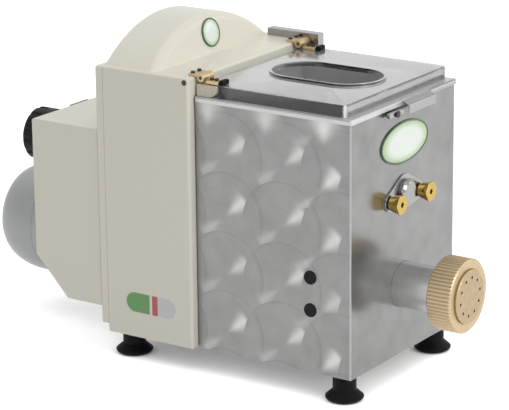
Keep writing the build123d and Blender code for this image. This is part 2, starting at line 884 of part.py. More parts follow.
with BuildPart() as mixer_hub:
    with BuildSketch(section(-flange_thickness)):
        with Locations((0, mixer_height)):
            Circle(hub_radius)
    extrude(amount=hub_length)
    chamfer(mixer_hub.faces().sort_by(Axis.Y)[0].edges(), length=hub_radius - hub_rim_radius)
    with BuildSketch(section(-flange_thickness)):
        with Locations((0, mixer_height)):
            Circle(mixer_shaft_radius + 4 * moving_gap)
    extrude(amount=hub_length - 1.6, mode=Mode.SUBTRACT)
pieces["mixer_hub"] = mixer_hub

stud_front = -(flange_thickness + stud_collar_length + hand_nut_length - stud_recess)
with BuildPart() as flange_studs:
    with BuildSketch(section(panel_sheet + stud_head_height)):
        with Locations(*stud_places):
            RegularPolygon(stud_head_radius, 6)
    extrude(amount=stud_head_height)
    with BuildSketch(section(panel_sheet)):
        with Locations(*stud_places):
            Circle(stud_radius)
    extrude(amount=panel_sheet - stud_front)
    with BuildSketch(section(-flange_thickness)):
        with Locations(*stud_places):
            Circle(stud_collar_radius)
    extrude(amount=stud_collar_length)
pieces["flange_studs"] = flange_studs

nut_back = -(flange_thickness + stud_collar_length + moving_gap)
for nut_name, nut_place in zip(("left_hand_nut", "right_hand_nut"), stud_places):
    with BuildPart() as hand_nut:
        with BuildSketch(section(nut_back)):
            with Locations(nut_place):
                RegularPolygon(hand_nut_radius, 6)
        extrude(amount=hand_nut_length)
        with BuildSketch(section(nut_back)):
            with Locations(nut_place):
                Circle(hand_nut_neck_radius)
        extrude(amount=hand_nut_length, taper=-hand_nut_taper, mode=Mode.INTERSECT)
        with BuildSketch(section(nut_back)):
            with Locations(nut_place):
                Circle(stud_radius + running_fit)
        extrude(amount=hand_nut_length, mode=Mode.SUBTRACT)
    pieces[nut_name] = hand_nut

front_bush_back = tub_front + tub_sheet
case_bush_back = bulkhead_back + gearbox_end_wall
bush_list = [
    (auger_height, thrust_bush_radius, auger_shaft_radius, bulkhead_front, thrust_bush_length),
    (auger_height, auger_shaft_radius + bush_wall, auger_shaft_radius, case_bush_back, gearbox_end_wall),
    (lay_height, lay_shaft_radius + bush_wall, lay_shaft_radius, case_bush_back, gearbox_end_wall),
    (mixer_height, mixer_shaft_radius + bush_wall, mixer_shaft_radius, case_bush_back, gearbox_end_wall),
    (lay_height, lay_shaft_radius + bush_wall, lay_shaft_radius, gearbox_back, gearbox_end_wall),
    (mixer_height, mixer_shaft_radius + bush_wall, mixer_shaft_radius, gearbox_back, gearbox_end_wall),
    (mixer_height, bush_radius, mixer_shaft_radius, front_bush_back, front_bush_back + flange_thickness),
    (mixer_height, bush_radius, mixer_shaft_radius, bulkhead_back, bulkhead_back - tub_back + tub_sheet),
]
with BuildPart() as bronze_bushes:
    for height, outer_radius, shaft_radius, back, length in bush_list:
        with BuildSketch(section(back)):
            with Locations((0, height)):
                Circle(outer_radius)
                Circle(shaft_radius + running_fit, mode=Mode.SUBTRACT)
        extrude(amount=length)
pieces["bronze_bushes"] = bronze_bushes

# ------------------------------------------------------------------------------------- motor
with BuildPart() as motor_front_bell:
    with BuildSketch(section(motor_tube_front)):
        with Locations((0, auger_height)):
            Circle(motor_radius)
            Circle(bearing_radius, mode=Mode.SUBTRACT)
    extrude(amount=motor_front_bell_length)
    fillet(motor_front_bell.faces().sort_by(Axis.Y)[0].outer_wire().edges(), radius=motor_wall)
pieces["motor_front_bell"] = motor_front_bell

with BuildPart() as motor_housing:
    with BuildSketch(section(motor_tube_back)):
        with Locations((0, auger_height)):
            Circle(motor_radius)
            Circle(motor_bore, mode=Mode.SUBTRACT)
    extrude(amount=motor_tube_length)
    with BuildSketch(section(motor_tube_back)):
        with Locations((0, auger_height)):
            Circle(motor_bore)
            Circle(bearing_radius, mode=Mode.SUBTRACT)
    extrude(amount=shield_thickness)
pieces["motor_housing"] = motor_housing

motor_axis = Axis((0, 0, auger_height), (0, 1, 0))
dome_start = at(motor_back - motor_dome_length)
with BuildPart() as motor_end_bell:
    for shell_mode, inset in ((Mode.ADD, 0), (Mode.SUBTRACT, motor_wall)):
        tube_top = auger_height + motor_radius - inset
        flat_top = auger_height + motor_end_radius - inset
        dome_end = dome_start + motor_dome_length - inset
        with BuildSketch(side(0)):
            with BuildLine():
                EllipticalCenterArc(
                    (dome_start, flat_top),
                    motor_dome_length - inset,
                    motor_radius - motor_end_radius,
                    start_angle=0,
                    arc_size=90,
                )
                Polyline(
                    (dome_start, tube_top),
                    (at(motor_tube_back), tube_top),
                    (at(motor_tube_back), auger_height),
                    (dome_end, auger_height),
                    (dome_end, flat_top),
                )
            make_face()
        revolve(axis=motor_axis, mode=shell_mode)
    with BuildSketch(section(motor_back + 1)):
        with Locations((0, auger_height)):
            for row in range(1, vent_rows + 1):
                with PolarLocations(row * vent_row_pitch, 6 * row):
                    Circle(vent_radius)
    extrude(amount=motor_wall + 2, mode=Mode.SUBTRACT)
pieces["motor_end_bell"] = motor_end_bell

with BuildPart() as motor_bearings:
    for back in (gearbox_back + bearing_width + 2, motor_tube_back):
        with BuildSketch(section(back)):
            with Locations((0, auger_height)):
                Circle(bearing_radius)
                Circle(motor_shaft_radius + running_fit, mode=Mode.SUBTRACT)
        extrude(amount=bearing_width)
pieces["motor_bearings"] = motor_bearings

with BuildPart() as motor_stator:
    with BuildSketch(section(stator_back)):
        with Locations((0, auger_height)):
            Circle(motor_bore)
            Circle(rotor_radius + rotor_gap, mode=Mode.SUBTRACT)
    extrude(amount=stator_length)
pieces["motor_stator"] = motor_stator

with BuildPart() as motor_rotor:
    with BuildSketch(section(fan_back)):
        with Locations((0, auger_height)):
            Circle(motor_shaft_radius)
    extrude(amount=fan_back - motor_shaft_front)
    with BuildSketch(section(stator_back)):
        with Locations((0, auger_height)):
            Circle(rotor_radius)
    extrude(amount=stator_length)
pieces["motor_rotor"] = motor_rotor

with BuildPart() as motor_fan:
    with BuildSketch(section(fan_back)):
        with Locations((0, auger_height)):
            Circle(fan_hub_radius)
            with PolarLocations((fan_radius + fan_hub_radius) / 2, fan_blades):
                Rectangle(fan_radius - fan_hub_radius + 2, fan_blade_thickness)
            Circle(motor_shaft_radius, mode=Mode.SUBTRACT)
    extrude(amount=fan_width)
pieces["motor_fan"] = motor_fan

with BuildPart() as start_capacitor:
    with BuildSketch(section(hood_back - cover_sheet)):
        with Locations((capacitor_offset, capacitor_height)):
            Circle(capacitor_radius)
    extrude(amount=capacitor_length)
    fillet(start_capacitor.faces().sort_by(Axis.Y)[0].edges(), radius=2)
pieces["start_capacitor"] = start_capacitor


# ----------------------------------------------------------------------------- painted covers
def arch_form(shrink, back, edge_radius):
    """Arch alone, its walls moved in by shrink: a round roof and a front that leans back."""
    half_chord = half_cover - arch_inset
    radius = (half_chord**2 + arch_rise**2) / (2 * arch_rise)
    foot = shelf_height - shrink
    top = shelf_height + 2 * arch_rise
    lean = tan(radians(arch_lean))
    face_foot = at(arch_front) + shrink / cos(radians(arch_lean)) - shrink * lean
    ahead = at(arch_front) - arch_rise
    with BuildPart() as form:
        with BuildSketch(section(back)):
            with Locations((0, shelf_height + arch_rise - radius)):
                Circle(radius - shrink)
            with Locations((0, (foot + top) / 2)):
                Rectangle(cover_width, top - foot, mode=Mode.INTERSECT)
        extrude(amount=back - arch_front + arch_rise / 2)
        with BuildSketch(side(-half_cover)):
            Polygon(
                (ahead, foot),
                (face_foot, foot),
                (face_foot + (top - foot) * lean, top),
                (ahead, top),
                align=None,
            )
        extrude(amount=cover_width, mode=Mode.SUBTRACT)
        face_edges = form.faces().sort_by(Axis.Y)[0].edges()
        fillet(face_edges.filter_by(GeomType.LINE, reverse=True), radius=edge_radius)
    return form.part


column_bottom = foot_height + column_lift
opening_half_width = half_body - panel_sheet
with BuildPart() as front_cover:
    with BuildSketch(section(column_back)):
        with Locations((0, (column_bottom + shelf_height) / 2)):
            Rectangle(cover_width, shelf_height - column_bottom)
    extrude(amount=column_depth)
    fillet(
        front_cover.faces().sort_by(Axis.Y)[0].edges().filter_by(Axis.Z), radius=cover_edge_radius
    )
    fillet(
        front_cover.faces().sort_by(Axis.Z)[-1].edges().group_by(Axis.Y)[0], radius=shelf_edge_radius
    )
    add(arch_form(0, column_back, arch_edge_radius))
    with BuildSketch(section(column_back)):
        with Locations((0, (column_bottom + shelf_height - 2 * cover_sheet) / 2)):
            Rectangle(cover_width - 2 * cover_sheet, shelf_height - column_bottom)
    extrude(amount=column_depth - cover_sheet, mode=Mode.SUBTRACT)
    add(
        arch_form(2 * cover_sheet, column_back - cover_sheet, arch_edge_radius - 2 * cover_sheet),
        mode=Mode.SUBTRACT,
    )
    with BuildSketch(section(column_front + cover_sheet)):
        with Locations((0, (column_bottom + rim_height) / 2)):
            Rectangle(2 * opening_half_width, rim_height - column_bottom)
    extrude(amount=2 * cover_sheet, mode=Mode.SUBTRACT)
pieces["front_cover"] = front_cover

strip_bottom = foot_height + strip_lift
with BuildPart() as rear_cover:
    with BuildSketch(section(strip_back)):
        with Locations((0, (strip_bottom + shelf_height) / 2)):
            Rectangle(cover_width, shelf_height - strip_bottom)
    extrude(amount=rear_strip_depth - moving_gap)
    fillet(
        rear_cover.faces().sort_by(Axis.Y)[-1].edges().filter_by(Axis.Z), radius=cover_edge_radius
    )
    fillet(
        rear_cover.faces().sort_by(Axis.Z)[-1].edges().group_by(Axis.Y)[-1], radius=cover_edge_radius
    )
    with BuildSketch(section(strip_back - cover_sheet)):
        with Locations((0, (strip_bottom + shelf_height - 2 * cover_sheet) / 2)):
            Rectangle(cover_width - 2 * cover_sheet, shelf_height - strip_bottom)
    extrude(amount=rear_strip_depth, mode=Mode.SUBTRACT)
    with BuildSketch(section(strip_back)):
        with Locations((0, (strip_bottom + hood_top - 2 * strip_screw_inset) / 2)):
            Rectangle(2 * (half_hood - 2 * strip_screw_inset), hood_top - strip_bottom)
    extrude(amount=2 * cover_sheet, mode=Mode.SUBTRACT)
pieces["rear_cover"] = rear_cover

knob_place = (-knob_offset, knob_height)
button_place = (-button_offset, button_height)
gland_place = (gland_offset, gland_height)
chamfer_shift = cover_sheet * sqrt(hood_chamfer_run**2 + hood_chamfer_rise**2) / hood_chamfer_rise
inner_chamfer_top = hood_bottom + hood_chamfer_rise
inner_chamfer_top += (chamfer_shift - cover_sheet) * hood_chamfer_rise / hood_chamfer_run
with BuildPart() as motor_hood:
    with BuildSketch(side(-half_hood)):
        Polygon(
            (at(strip_back), hood_bottom),
            (at(hood_back - hood_chamfer_run), hood_bottom),
            (at(hood_back), hood_bottom + hood_chamfer_rise),
            (at(hood_back), hood_top),
            (at(strip_back), hood_top),
            align=None,
        )
    extrude(amount=2 * half_hood)
    hood_top_edges = motor_hood.edges().filter_by(Axis.X).group_by(Axis.Z)[-1]
    fillet(hood_top_edges.sort_by(Axis.Y)[-1:], radius=hood_edge_radius)
    with BuildSketch(side(-half_hood + cover_sheet)):
        Polygon(
            (at(strip_back), hood_bottom),
            (at(hood_back - hood_chamfer_run - chamfer_shift), hood_bottom),
            (at(hood_back - cover_sheet), inner_chamfer_top),
            (at(hood_back - cover_sheet), hood_top - cover_sheet),
            (at(strip_back), hood_top - cover_sheet),
            align=None,
        )
    extrude(amount=2 * (half_hood - cover_sheet), mode=Mode.SUBTRACT)
    with BuildSketch(section(hood_back + 1)):
        with Locations((0, auger_height)):
            Circle(motor_radius + 3 * moving_gap)
        with Locations(knob_place):
            Circle(switch_neck_radius)
        with Locations(button_place):
            Circle(button_stem_radius + moving_gap)
        with Locations(gland_place):
            Circle(gland_neck_radius)
    extrude(amount=hood_chamfer_run + 2 * cover_sheet + 1, mode=Mode.SUBTRACT)
pieces["motor_hood"] = motor_hood

# ------------------------------------------------------------------------------------ controls
hood_inner_back = hood_back - cover_sheet
cam_inner = guard_inner + guard_sheet + 2
microswitch_front = column_front + microswitch_setback
microswitch_middle = cam_inner + cam_width / 2
plunger_height = shelf_height + microswitch_height / 2
with BuildPart() as switch_bodies:
    with BuildSketch(section(hood_inner_back)):
        with Locations(knob_place):
            Rectangle(switch_body_size, switch_body_size)
    extrude(amount=switch_body_length)
    with BuildSketch(section(hood_back)):
        with Locations(knob_place):
            Circle(switch_neck_radius)
    extrude(amount=cover_sheet)
    with BuildSketch(section(hood_back)):
        with Locations(knob_place):
            Circle(spindle_radius + running_fit)
    extrude(amount=spindle_depth + moving_gap, mode=Mode.SUBTRACT)
    with BuildSketch(section(hood_inner_back)):
        with Locations(button_place):
            Rectangle(button_block_size, button_block_size)
            Circle(button_stem_radius + moving_gap, mode=Mode.SUBTRACT)
    extrude(amount=button_block_length)
    with BuildSketch(level(shelf_height)):
        with Locations((microswitch_middle, at(microswitch_front + microswitch_length / 2))):
            Rectangle(microswitch_width, microswitch_length)
    extrude(amount=microswitch_height)
    with BuildSketch(section(microswitch_front + microswitch_length / 2)):
        with Locations((microswitch_middle, plunger_height)):
            Circle(plunger_radius + running_fit)
    extrude(amount=microswitch_length / 2, mode=Mode.SUBTRACT)
pieces["switch_bodies"] = switch_bodies

knob_back = hood_back + knob_gap + knob_length
with BuildPart() as selector_knob:
    with BuildSketch(section(knob_back)):
        with Locations(knob_place):
            Circle(knob_radius)
    extrude(amount=knob_length)
    fillet(selector_knob.faces().sort_by(Axis.Y)[-1].edges(), radius=3)
    with BuildSketch(section(knob_back)):
        with Locations(knob_place):
            with PolarLocations(knob_radius + 0.6 * knob_flute_radius, knob_flutes):
                Circle(knob_flute_radius)
    extrude(amount=0.6 * knob_length, mode=Mode.SUBTRACT)
    with BuildSketch(section(knob_back - knob_length / 2)):
        with Locations(knob_place):
            Circle(spindle_radius)
    extrude(amount=spindle_depth + knob_gap + knob_length / 2)
pieces["selector_knob"] = selector_knob

with BuildPart() as button_bezel:
    with BuildSketch(section(hood_back + bezel_length)):
        with Locations(button_place):
            RectangleRounded(bezel_width, bezel_height, bezel_corner)
            Circle(button_radius + moving_gap, mode=Mode.SUBTRACT)
    extrude(amount=bezel_length)
    chamfer(
        button_bezel.faces().sort_by(Axis.Y)[-1].outer_wire().edges(), length=2
    )
pieces["button_bezel"] = button_bezel

button_face = hood_back + bezel_length + button_proud
with BuildPart() as push_button:
    with BuildSketch(section(button_face)):
        with Locations(button_place):
            Circle(button_radius)
    extrude(amount=bezel_length + button_proud - button_travel - moving_gap)
    fillet(push_button.faces().sort_by(Axis.Y)[-1].edges(), radius=1.5)
    with BuildSketch(section(button_face - button_proud)):
        with Locations(button_place):
            Circle(button_stem_radius)
    extrude(amount=button_stem_length)
pieces["push_button"] = push_button

with BuildPart() as cable_gland:
    with BuildSketch(section(hood_back + gland_base_length)):
        with Locations(gland_place):
            RegularPolygon(gland_radius, 6)
    extrude(amount=gland_base_length)
    with BuildSketch(section(hood_back + gland_base_length)):
        with Locations(gland_place):
            Circle(gland_radius - 1)
    extrude(amount=-gland_dome_length, taper=12)
    with BuildSketch(section(hood_back)):
        with Locations(gland_place):
            Circle(gland_neck_radius)
    extrude(amount=cover_sheet + gland_nut_length)
    with BuildSketch(section(hood_inner_back)):
        with Locations(gland_place):
            RegularPolygon(gland_radius, 6)
    extrude(amount=gland_nut_length)
    with BuildSketch(section(hood_back + gland_base_length + gland_dome_length)):
        with Locations(gland_place):
            Circle(gland_bore_radius)
    extrude(
        amount=gland_dome_length + gland_base_length + cover_sheet + gland_nut_length,
        mode=Mode.SUBTRACT,
    )
pieces["cable_gland"] = cable_gland

# ---------------------------------------------------------------------------------------- lid
with BuildPart() as lid:
    with BuildSketch(level(lid_bottom)):
        with Locations((0, at((lid_front_depth + lid_full_width_end) / 2))):
            Rectangle(2 * lid_half_width, lid_full_width_end - lid_front_depth)
    extrude(amount=lid_top_height - lid_bottom)
    fillet(
        lid.edges().filter_by(Axis.Z).group_by(Axis.Y)[0], radius=lid_corner_radius
    )
    with BuildSketch(level(lid_bottom)):
        with Locations((0, at((lid_front_depth + lid_back) / 2))):
            Rectangle(2 * lid_tongue_half_width, lid_back - lid_front_depth - 2 * lid_corner_radius)
        with Locations((0, at(lid_back - lid_corner_radius))):
            Rectangle(2 * lid_tongue_half_width, 2 * lid_corner_radius)
    extrude(amount=lid_top_height - lid_bottom)
    fillet(lid.faces().sort_by(Axis.Z)[-1].edges().group_by(Axis.Y)[0], radius=1.2)
    with BuildSketch(level(lid_bottom)):
        inner_front = lid_front_depth + lid_sheet
        inner_back = lid_full_width_end - lid_sheet
        with Locations((0, at((inner_front + inner_back) / 2))):
            Rectangle(2 * (lid_half_width - lid_sheet), inner_back - inner_front)
        tongue_inner_back = lid_back - lid_sheet
        with Locations((0, at((inner_front + tongue_inner_back) / 2))):
            Rectangle(2 * (lid_tongue_half_width - lid_sheet), tongue_inner_back - inner_front)
    extrude(amount=lid_top_height - lid_sheet - lid_bottom, mode=Mode.SUBTRACT)
    with BuildSketch(level(lid_top_height)):
        with Locations((0, at(window_depth))):
            SlotOverall(
                window_length + 2 * window_lip_width, window_width + 2 * window_lip_width, rotation=90
            )
    extrude(amount=window_lip_height)
    with BuildSketch(level(lid_bottom)):
        with Locations((0, at(window_depth))):
            SlotOverall(window_length, window_width, rotation=90)
    extrude(amount=lid_top_height, mode=Mode.SUBTRACT)
pieces["lid"] = lid

hinge_sides = (-1, 1)
leaf_front = hinge_depth - lid_leaf_length
shelf_leaf_back = column_front + shelf_leaf_length
fixed_knuckle_width = (hinge_width - moving_knuckle_width) / 2 - knuckle_side_gap
with BuildPart() as lid_hinge_leaves:
    for sign in hinge_sides:
        middle = sign * hinge_offset
        with BuildSketch(side(middle - moving_knuckle_width / 2)):
            with Locations((at(hinge_depth), hinge_height)):
                Circle(knuckle_radius)
            with Locations((at((leaf_front + hinge_depth) / 2), lid_top_height + hinge_leaf_thickness / 2)):
                Rectangle(lid_leaf_length, hinge_leaf_thickness)
        extrude(amount=moving_knuckle_width)
        with BuildSketch(level(lid_top_height)):
            leaf_end = hinge_depth - knuckle_radius - 1
            with Locations((middle, at((leaf_front + leaf_end) / 2))):
                Rectangle(hinge_width - 2 * leaf_inset, leaf_end - leaf_front)
        extrude(amount=hinge_leaf_thickness)
        with BuildSketch(side(middle - moving_knuckle_width)):
            with Locations((at(hinge_depth), hinge_height)):
                Circle(hinge_pin_radius)
        extrude(amount=2 * moving_knuckle_width, mode=Mode.SUBTRACT)
pieces["lid_hinge_leaves"] = lid_hinge_leaves

with BuildPart() as shelf_hinge_leaves:
    for sign in hinge_sides:
        middle = sign * hinge_offset
        leaf_start = hinge_depth + knuckle_radius + moving_gap
        with BuildSketch(level(shelf_height)):
            with Locations((middle, at((leaf_start + shelf_leaf_back) / 2))):
                Rectangle(hinge_width, shelf_leaf_back - leaf_start)
        extrude(amount=hinge_leaf_thickness)
        for end in (-1, 1):
            inner_edge = middle + end * (moving_knuckle_width / 2 + knuckle_side_gap)
            outer_edge = middle + end * hinge_width / 2
            with BuildSketch(side(min(inner_edge, outer_edge))):
                with Locations((at(hinge_depth), hinge_height)):
                    Circle(knuckle_radius)
                strap_back = leaf_start + 2
                strap_height = shelf_height + hinge_leaf_thickness / 2
                with Locations((at((hinge_depth + strap_back) / 2), strap_height)):
                    Rectangle(strap_back - hinge_depth, hinge_leaf_thickness)
                with Locations((at(hinge_depth), hinge_height)):
                    Circle(hinge_pin_radius + running_fit, mode=Mode.SUBTRACT)
            extrude(amount=fixed_knuckle_width)
pieces["shelf_hinge_leaves"] = shelf_hinge_leaves

with BuildPart() as hinge_pins:
    for sign in hinge_sides:
        pin_start = sign * hinge_offset - hinge_width / 2
        pin_length = hinge_width
        if sign > 0:
            pin_length = cam_inner + cam_width - pin_start
        with BuildSketch(side(pin_start)):
            with Locations((at(hinge_depth), hinge_height)):
                Circle(hinge_pin_radius)
        extrude(amount=pin_length)
pieces["hinge_pins"] = hinge_pins

with BuildPart() as switch_cam:
    with BuildSketch(side(cam_inner)):
        with Locations((at(hinge_depth + cam_throw), hinge_height)):
            Circle(cam_radius)
        with Locations((at(hinge_depth), hinge_height)):
            Circle(hinge_pin_radius, mode=Mode.SUBTRACT)
    extrude(amount=cam_width)
pieces["switch_cam"] = switch_cam

leaf_screw_depth = hinge_depth - lid_leaf_length / 2 - 1
lid_screw_places = [
    (sign * hinge_offset, at(leaf_screw_depth + step * hinge_screw_pitch / 2))
    for sign in hinge_sides
    for step in (-1, 1)
]
with BuildPart() as lid_hinge_screws:
    with BuildSketch(level(lid_top_height + hinge_leaf_thickness)):
        with Locations(*lid_screw_places):
            Circle(hinge_screw_head_radius)
    extrude(amount=hinge_screw_head_height)
pieces["lid_hinge_screws"] = lid_hinge_screws

shelf_screw_places = [
    (sign * hinge_offset + step * hinge_screw_pitch, at(column_front + shelf_leaf_length * 0.6))
    for sign in hinge_sides
    for step in (-1, 1)
]
with BuildPart() as shelf_hinge_screws:
    with BuildSketch(level(shelf_height + hinge_leaf_thickness)):
        with Locations(*shelf_screw_places):
            Circle(hinge_screw_head_radius)
    extrude(amount=hinge_screw_head_height)
pieces["shelf_hinge_screws"] = shelf_hinge_screws

with BuildPart() as lid_buffers:
    with BuildSketch(level(lid_top_height)):
        with Locations(
            *[(sign * hinge_offset, at(leaf_front - buffer_length / 2)) for sign in hinge_sides]
        ):
            Rectangle(hinge_width - 2 * buffer_inset, buffer_length)
    extrude(amount=buffer_height)
pieces["lid_buffers"] = lid_buffers

cheek_front = lid_full_width_end + cheek_gap
cheek_back = body_depth - bulkhead_recess
cheek_top = lid_top_height - cheek_gap
cheek_round = cheek_top - rim_height - cheek_round_drop
with BuildPart() as hinge_cheeks:
    for sign in hinge_sides:
        cheek_inner = lid_tongue_half_width + cheek_gap
        start = cheek_inner if sign > 0 else -cheek_inner - cheek_thickness
        with BuildSketch(side(start)):
            with BuildLine():
                Polyline(
                    (at(cheek_front + cheek_round), rim_height),
                    (at(cheek_back), rim_height),
                    (at(cheek_back), cheek_top),
                    (at(cheek_front), cheek_top),
                    (at(cheek_front), rim_height + cheek_round),
                )
                RadiusArc(
                    (at(cheek_front), rim_height + cheek_round),
                    (at(cheek_front + cheek_round), rim_height),
                    -cheek_round,
                )
            make_face()
        extrude(amount=cheek_thickness)
pieces["hinge_cheeks"] = hinge_cheeks

# -------------------------------------------------------------------------------- lid switch
with BuildPart() as switch_guard:
    with BuildSketch(side(guard_inner)):
        Polygon(
            (at(guard_front), guard_nose_bottom),
            (at(column_front - moving_gap), guard_nose_bottom),
            (at(column_front - moving_gap), shelf_height),
            (at(guard_back), shelf_height),
            (at(guard_back), guard_top),
            (at(guard_front), guard_top),
            align=None,
        )
    extrude(amount=guard_width)
    with BuildSketch(side(guard_inner + guard_sheet)):
        hollow_top = guard_top - guard_sheet
        nose_middle = (guard_front + guard_sheet + column_front) / 2
        with Locations((at(nose_middle), (hollow_top + guard_nose_bottom) / 2 - 1)):
            Rectangle(column_front - guard_front - guard_sheet, hollow_top - guard_nose_bottom + 2)
        tail_middle = (guard_front + guard_sheet + guard_back - guard_sheet) / 2
        with Locations((at(tail_middle), (hollow_top + shelf_height) / 2)):
            Rectangle(guard_back - guard_front - 2 * guard_sheet, hollow_top - shelf_height)
    extrude(amount=guard_width - 2 * guard_sheet, mode=Mode.SUBTRACT)
    with BuildSketch(side(guard_inner)):
        with Locations((at(hinge_depth), hinge_height)):
            Circle(hinge_pin_radius + moving_gap)
    extrude(amount=guard_sheet, mode=Mode.SUBTRACT)
pieces["switch_guard"] = switch_guard

plunger_rise = plunger_height - plunger_radius - hinge_height
plunger_front = hinge_depth + cam_throw + sqrt(cam_radius**2 - plunger_rise**2) + plunger_gap
plunger_back = microswitch_front + microswitch_length / 2 - plunger_travel - plunger_gap
with BuildPart() as switch_plunger:
    with BuildSketch(section(plunger_back)):
        with Locations((microswitch_middle, plunger_height)):
            Circle(plunger_radius)
    extrude(amount=plunger_back - plunger_front)
pieces["switch_plunger"] = switch_plunger

# ----------------------------------------------------------------- badges, plugs, latch, screws
arch_face = Plane(
    origin=(0, at(arch_front), shelf_height),
    x_dir=(1, 0, 0),
    z_dir=(0, -cos(radians(arch_lean)), sin(radians(arch_lean))),
)
with BuildPart() as enamel_badges:
    with BuildSketch(section(0)):
        with Locations((0, oval_badge_centre)):
            Ellipse(oval_badge_width / 2, oval_badge_height / 2)
    extrude(amount=badge_thickness)
    with BuildSketch(arch_face):
        with Locations((0, round_badge_rise / cos(radians(arch_lean)))):
            Circle(round_badge_radius)
    extrude(amount=badge_thickness)
pieces["enamel_badges"] = enamel_badges

with BuildPart() as side_label:
    with BuildSketch(side(-half_cover - label_thickness)):
        with Locations((at(label_depth), label_centre)):
            SlotOverall(label_length, label_height)
    extrude(amount=label_thickness)
pieces["side_label"] = side_label

plug_places = [(at(plug_depth), height) for height in plug_heights]
with BuildPart() as side_plugs:
    with BuildSketch(side(-half_body - plug_head_thickness)):
        with Locations(*plug_places):
            Circle(plug_head_radius)
    extrude(amount=plug_head_thickness)
    with BuildSketch(side(-half_body)):
        with Locations(*plug_places):
            Circle(plug_neck_radius)
    extrude(amount=plug_neck_length)
pieces["side_plugs"] = side_plugs

latch_height_centre = rim_height - latch_drop
latch_back = -badge_thickness - latch_badge_gap
with BuildPart() as rim_latch:
    with BuildSketch(section(latch_back)):
        with Locations((latch_offset, latch_height_centre)):
            SlotOverall(latch_length, latch_height)
            Circle(latch_screw_radius + running_fit, mode=Mode.SUBTRACT)
    extrude(amount=latch_thickness)
pieces["rim_latch"] = rim_latch

with BuildPart() as rim_tab:
    with BuildSketch(side(tab_left)):
        Polygon(
            (at(rim_front), rim_height),
            (at(rim_front - tab_projection), rim_height - tab_height / 3),
            (at(rim_front - tab_projection), rim_height - tab_height),
            (at(rim_front - tab_projection + tab_sheet), rim_height - tab_height),
            (at(rim_front - tab_projection + tab_sheet), rim_height - tab_height / 3 - tab_sheet / 2),
            (at(rim_front), rim_height - 1.5 * tab_sheet),
            align=None,
        )
    extrude(amount=tab_width)
pieces["rim_tab"] = rim_tab

strip_screw_places = [
    (sign * (half_hood - strip_screw_inset), height)
    for sign in (-1, 1)
    for height in (hood_top + 2 * strip_screw_inset, shelf_height - 2 * strip_screw_inset)
]
latch_front = latch_back - latch_thickness - moving_gap
with BuildPart() as case_screws:
    for sign in (-1, 1):
        head_start = half_cover if sign > 0 else -half_cover - cover_screw_radius / 2
        with BuildSketch(side(head_start)):
            with Locations((at(cover_screw_depth), cover_screw_height)):
                Circle(cover_screw_head_radius)
        extrude(amount=cover_screw_radius / 2)
    with BuildSketch(section(strip_back + cover_screw_radius)):
        with Locations(*strip_screw_places):
            Circle(cover_screw_head_radius)
    extrude(amount=cover_screw_radius)
    with BuildSketch(section(0)):
        with Locations((latch_offset, latch_height_centre)):
            Circle(latch_screw_radius)
    extrude(amount=-latch_front)
    with BuildSketch(section(latch_front)):
        with Locations((latch_offset, latch_height_centre)):
            Circle(2 * latch_screw_radius)
    extrude(amount=latch_screw_radius)
pieces["case_screws"] = case_screws


# ------------------------------------------------------------------------------------- output
os.makedirs("parts", exist_ok=True)
for name, piece in pieces.items():
    piece.part.label = name
    export_step(piece.part, f"parts/{name}.step")
    print(name, round(piece.part.volume), len(piece.part.solids()))
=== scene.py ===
"""Electric pasta maker: the dressed model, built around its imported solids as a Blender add-on."""

import json
import math

import bmesh
import bpy
from bpy.props import FloatProperty, FloatVectorProperty, PointerProperty
from mathutils import Matrix, Vector

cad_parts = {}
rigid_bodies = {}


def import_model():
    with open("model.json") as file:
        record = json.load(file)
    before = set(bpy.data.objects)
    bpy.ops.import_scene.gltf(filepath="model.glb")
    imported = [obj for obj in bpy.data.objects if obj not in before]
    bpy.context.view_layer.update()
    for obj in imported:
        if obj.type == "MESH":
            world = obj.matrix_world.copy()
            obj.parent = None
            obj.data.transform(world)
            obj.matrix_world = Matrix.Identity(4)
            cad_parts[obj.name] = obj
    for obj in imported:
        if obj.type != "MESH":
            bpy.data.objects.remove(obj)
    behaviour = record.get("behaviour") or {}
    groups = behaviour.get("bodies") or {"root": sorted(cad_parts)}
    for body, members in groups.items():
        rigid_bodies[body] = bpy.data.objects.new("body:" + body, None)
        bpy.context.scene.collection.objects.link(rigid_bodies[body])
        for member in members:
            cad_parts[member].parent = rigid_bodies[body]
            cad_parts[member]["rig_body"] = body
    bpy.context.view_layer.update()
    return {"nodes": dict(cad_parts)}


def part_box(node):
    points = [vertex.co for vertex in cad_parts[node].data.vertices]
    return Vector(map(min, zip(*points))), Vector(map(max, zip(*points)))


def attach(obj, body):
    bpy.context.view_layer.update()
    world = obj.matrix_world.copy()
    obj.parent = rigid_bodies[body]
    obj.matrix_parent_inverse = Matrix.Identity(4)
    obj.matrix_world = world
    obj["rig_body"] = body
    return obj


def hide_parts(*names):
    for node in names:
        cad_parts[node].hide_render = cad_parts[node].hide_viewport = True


bl_info = {
    "name": "Electric Pasta Maker",
    "version": (1, 0, 0),
    "blender": (4, 5, 0),
    "location": "3D View > Sidebar > Pasta Maker",
    "description": "Builds the pasta maker's visible pieces and finishes around its solid model",
    "category": "Add Mesh",
}

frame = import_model()

# Depths are counted from the front panel's outer face. All lengths are in metres.
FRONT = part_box("front_panel")[0].y
ARCH_LEAN = math.radians(12)
OVAL_BADGE_HEIGHT = 0.285
OVAL_BADGE_HALF_SIZES = (0.052, 0.025)
ROUND_BADGE_RADIUS = 0.0175

FLOAT, VECTOR = "NodeSocketFloat", "NodeSocketVector"


# ------------------------------ properties


def length_setting(name, description, default, least=0.0):
    """A length in metres that the panel shows."""
    return FloatProperty(
        name=name, description=description, default=default, min=least, unit="LENGTH")


def colour_setting(name, description, default):
    """A colour that the panel shows."""
    return FloatVectorProperty(
        name=name, description=description, default=default, size=3, subtype="COLOR")


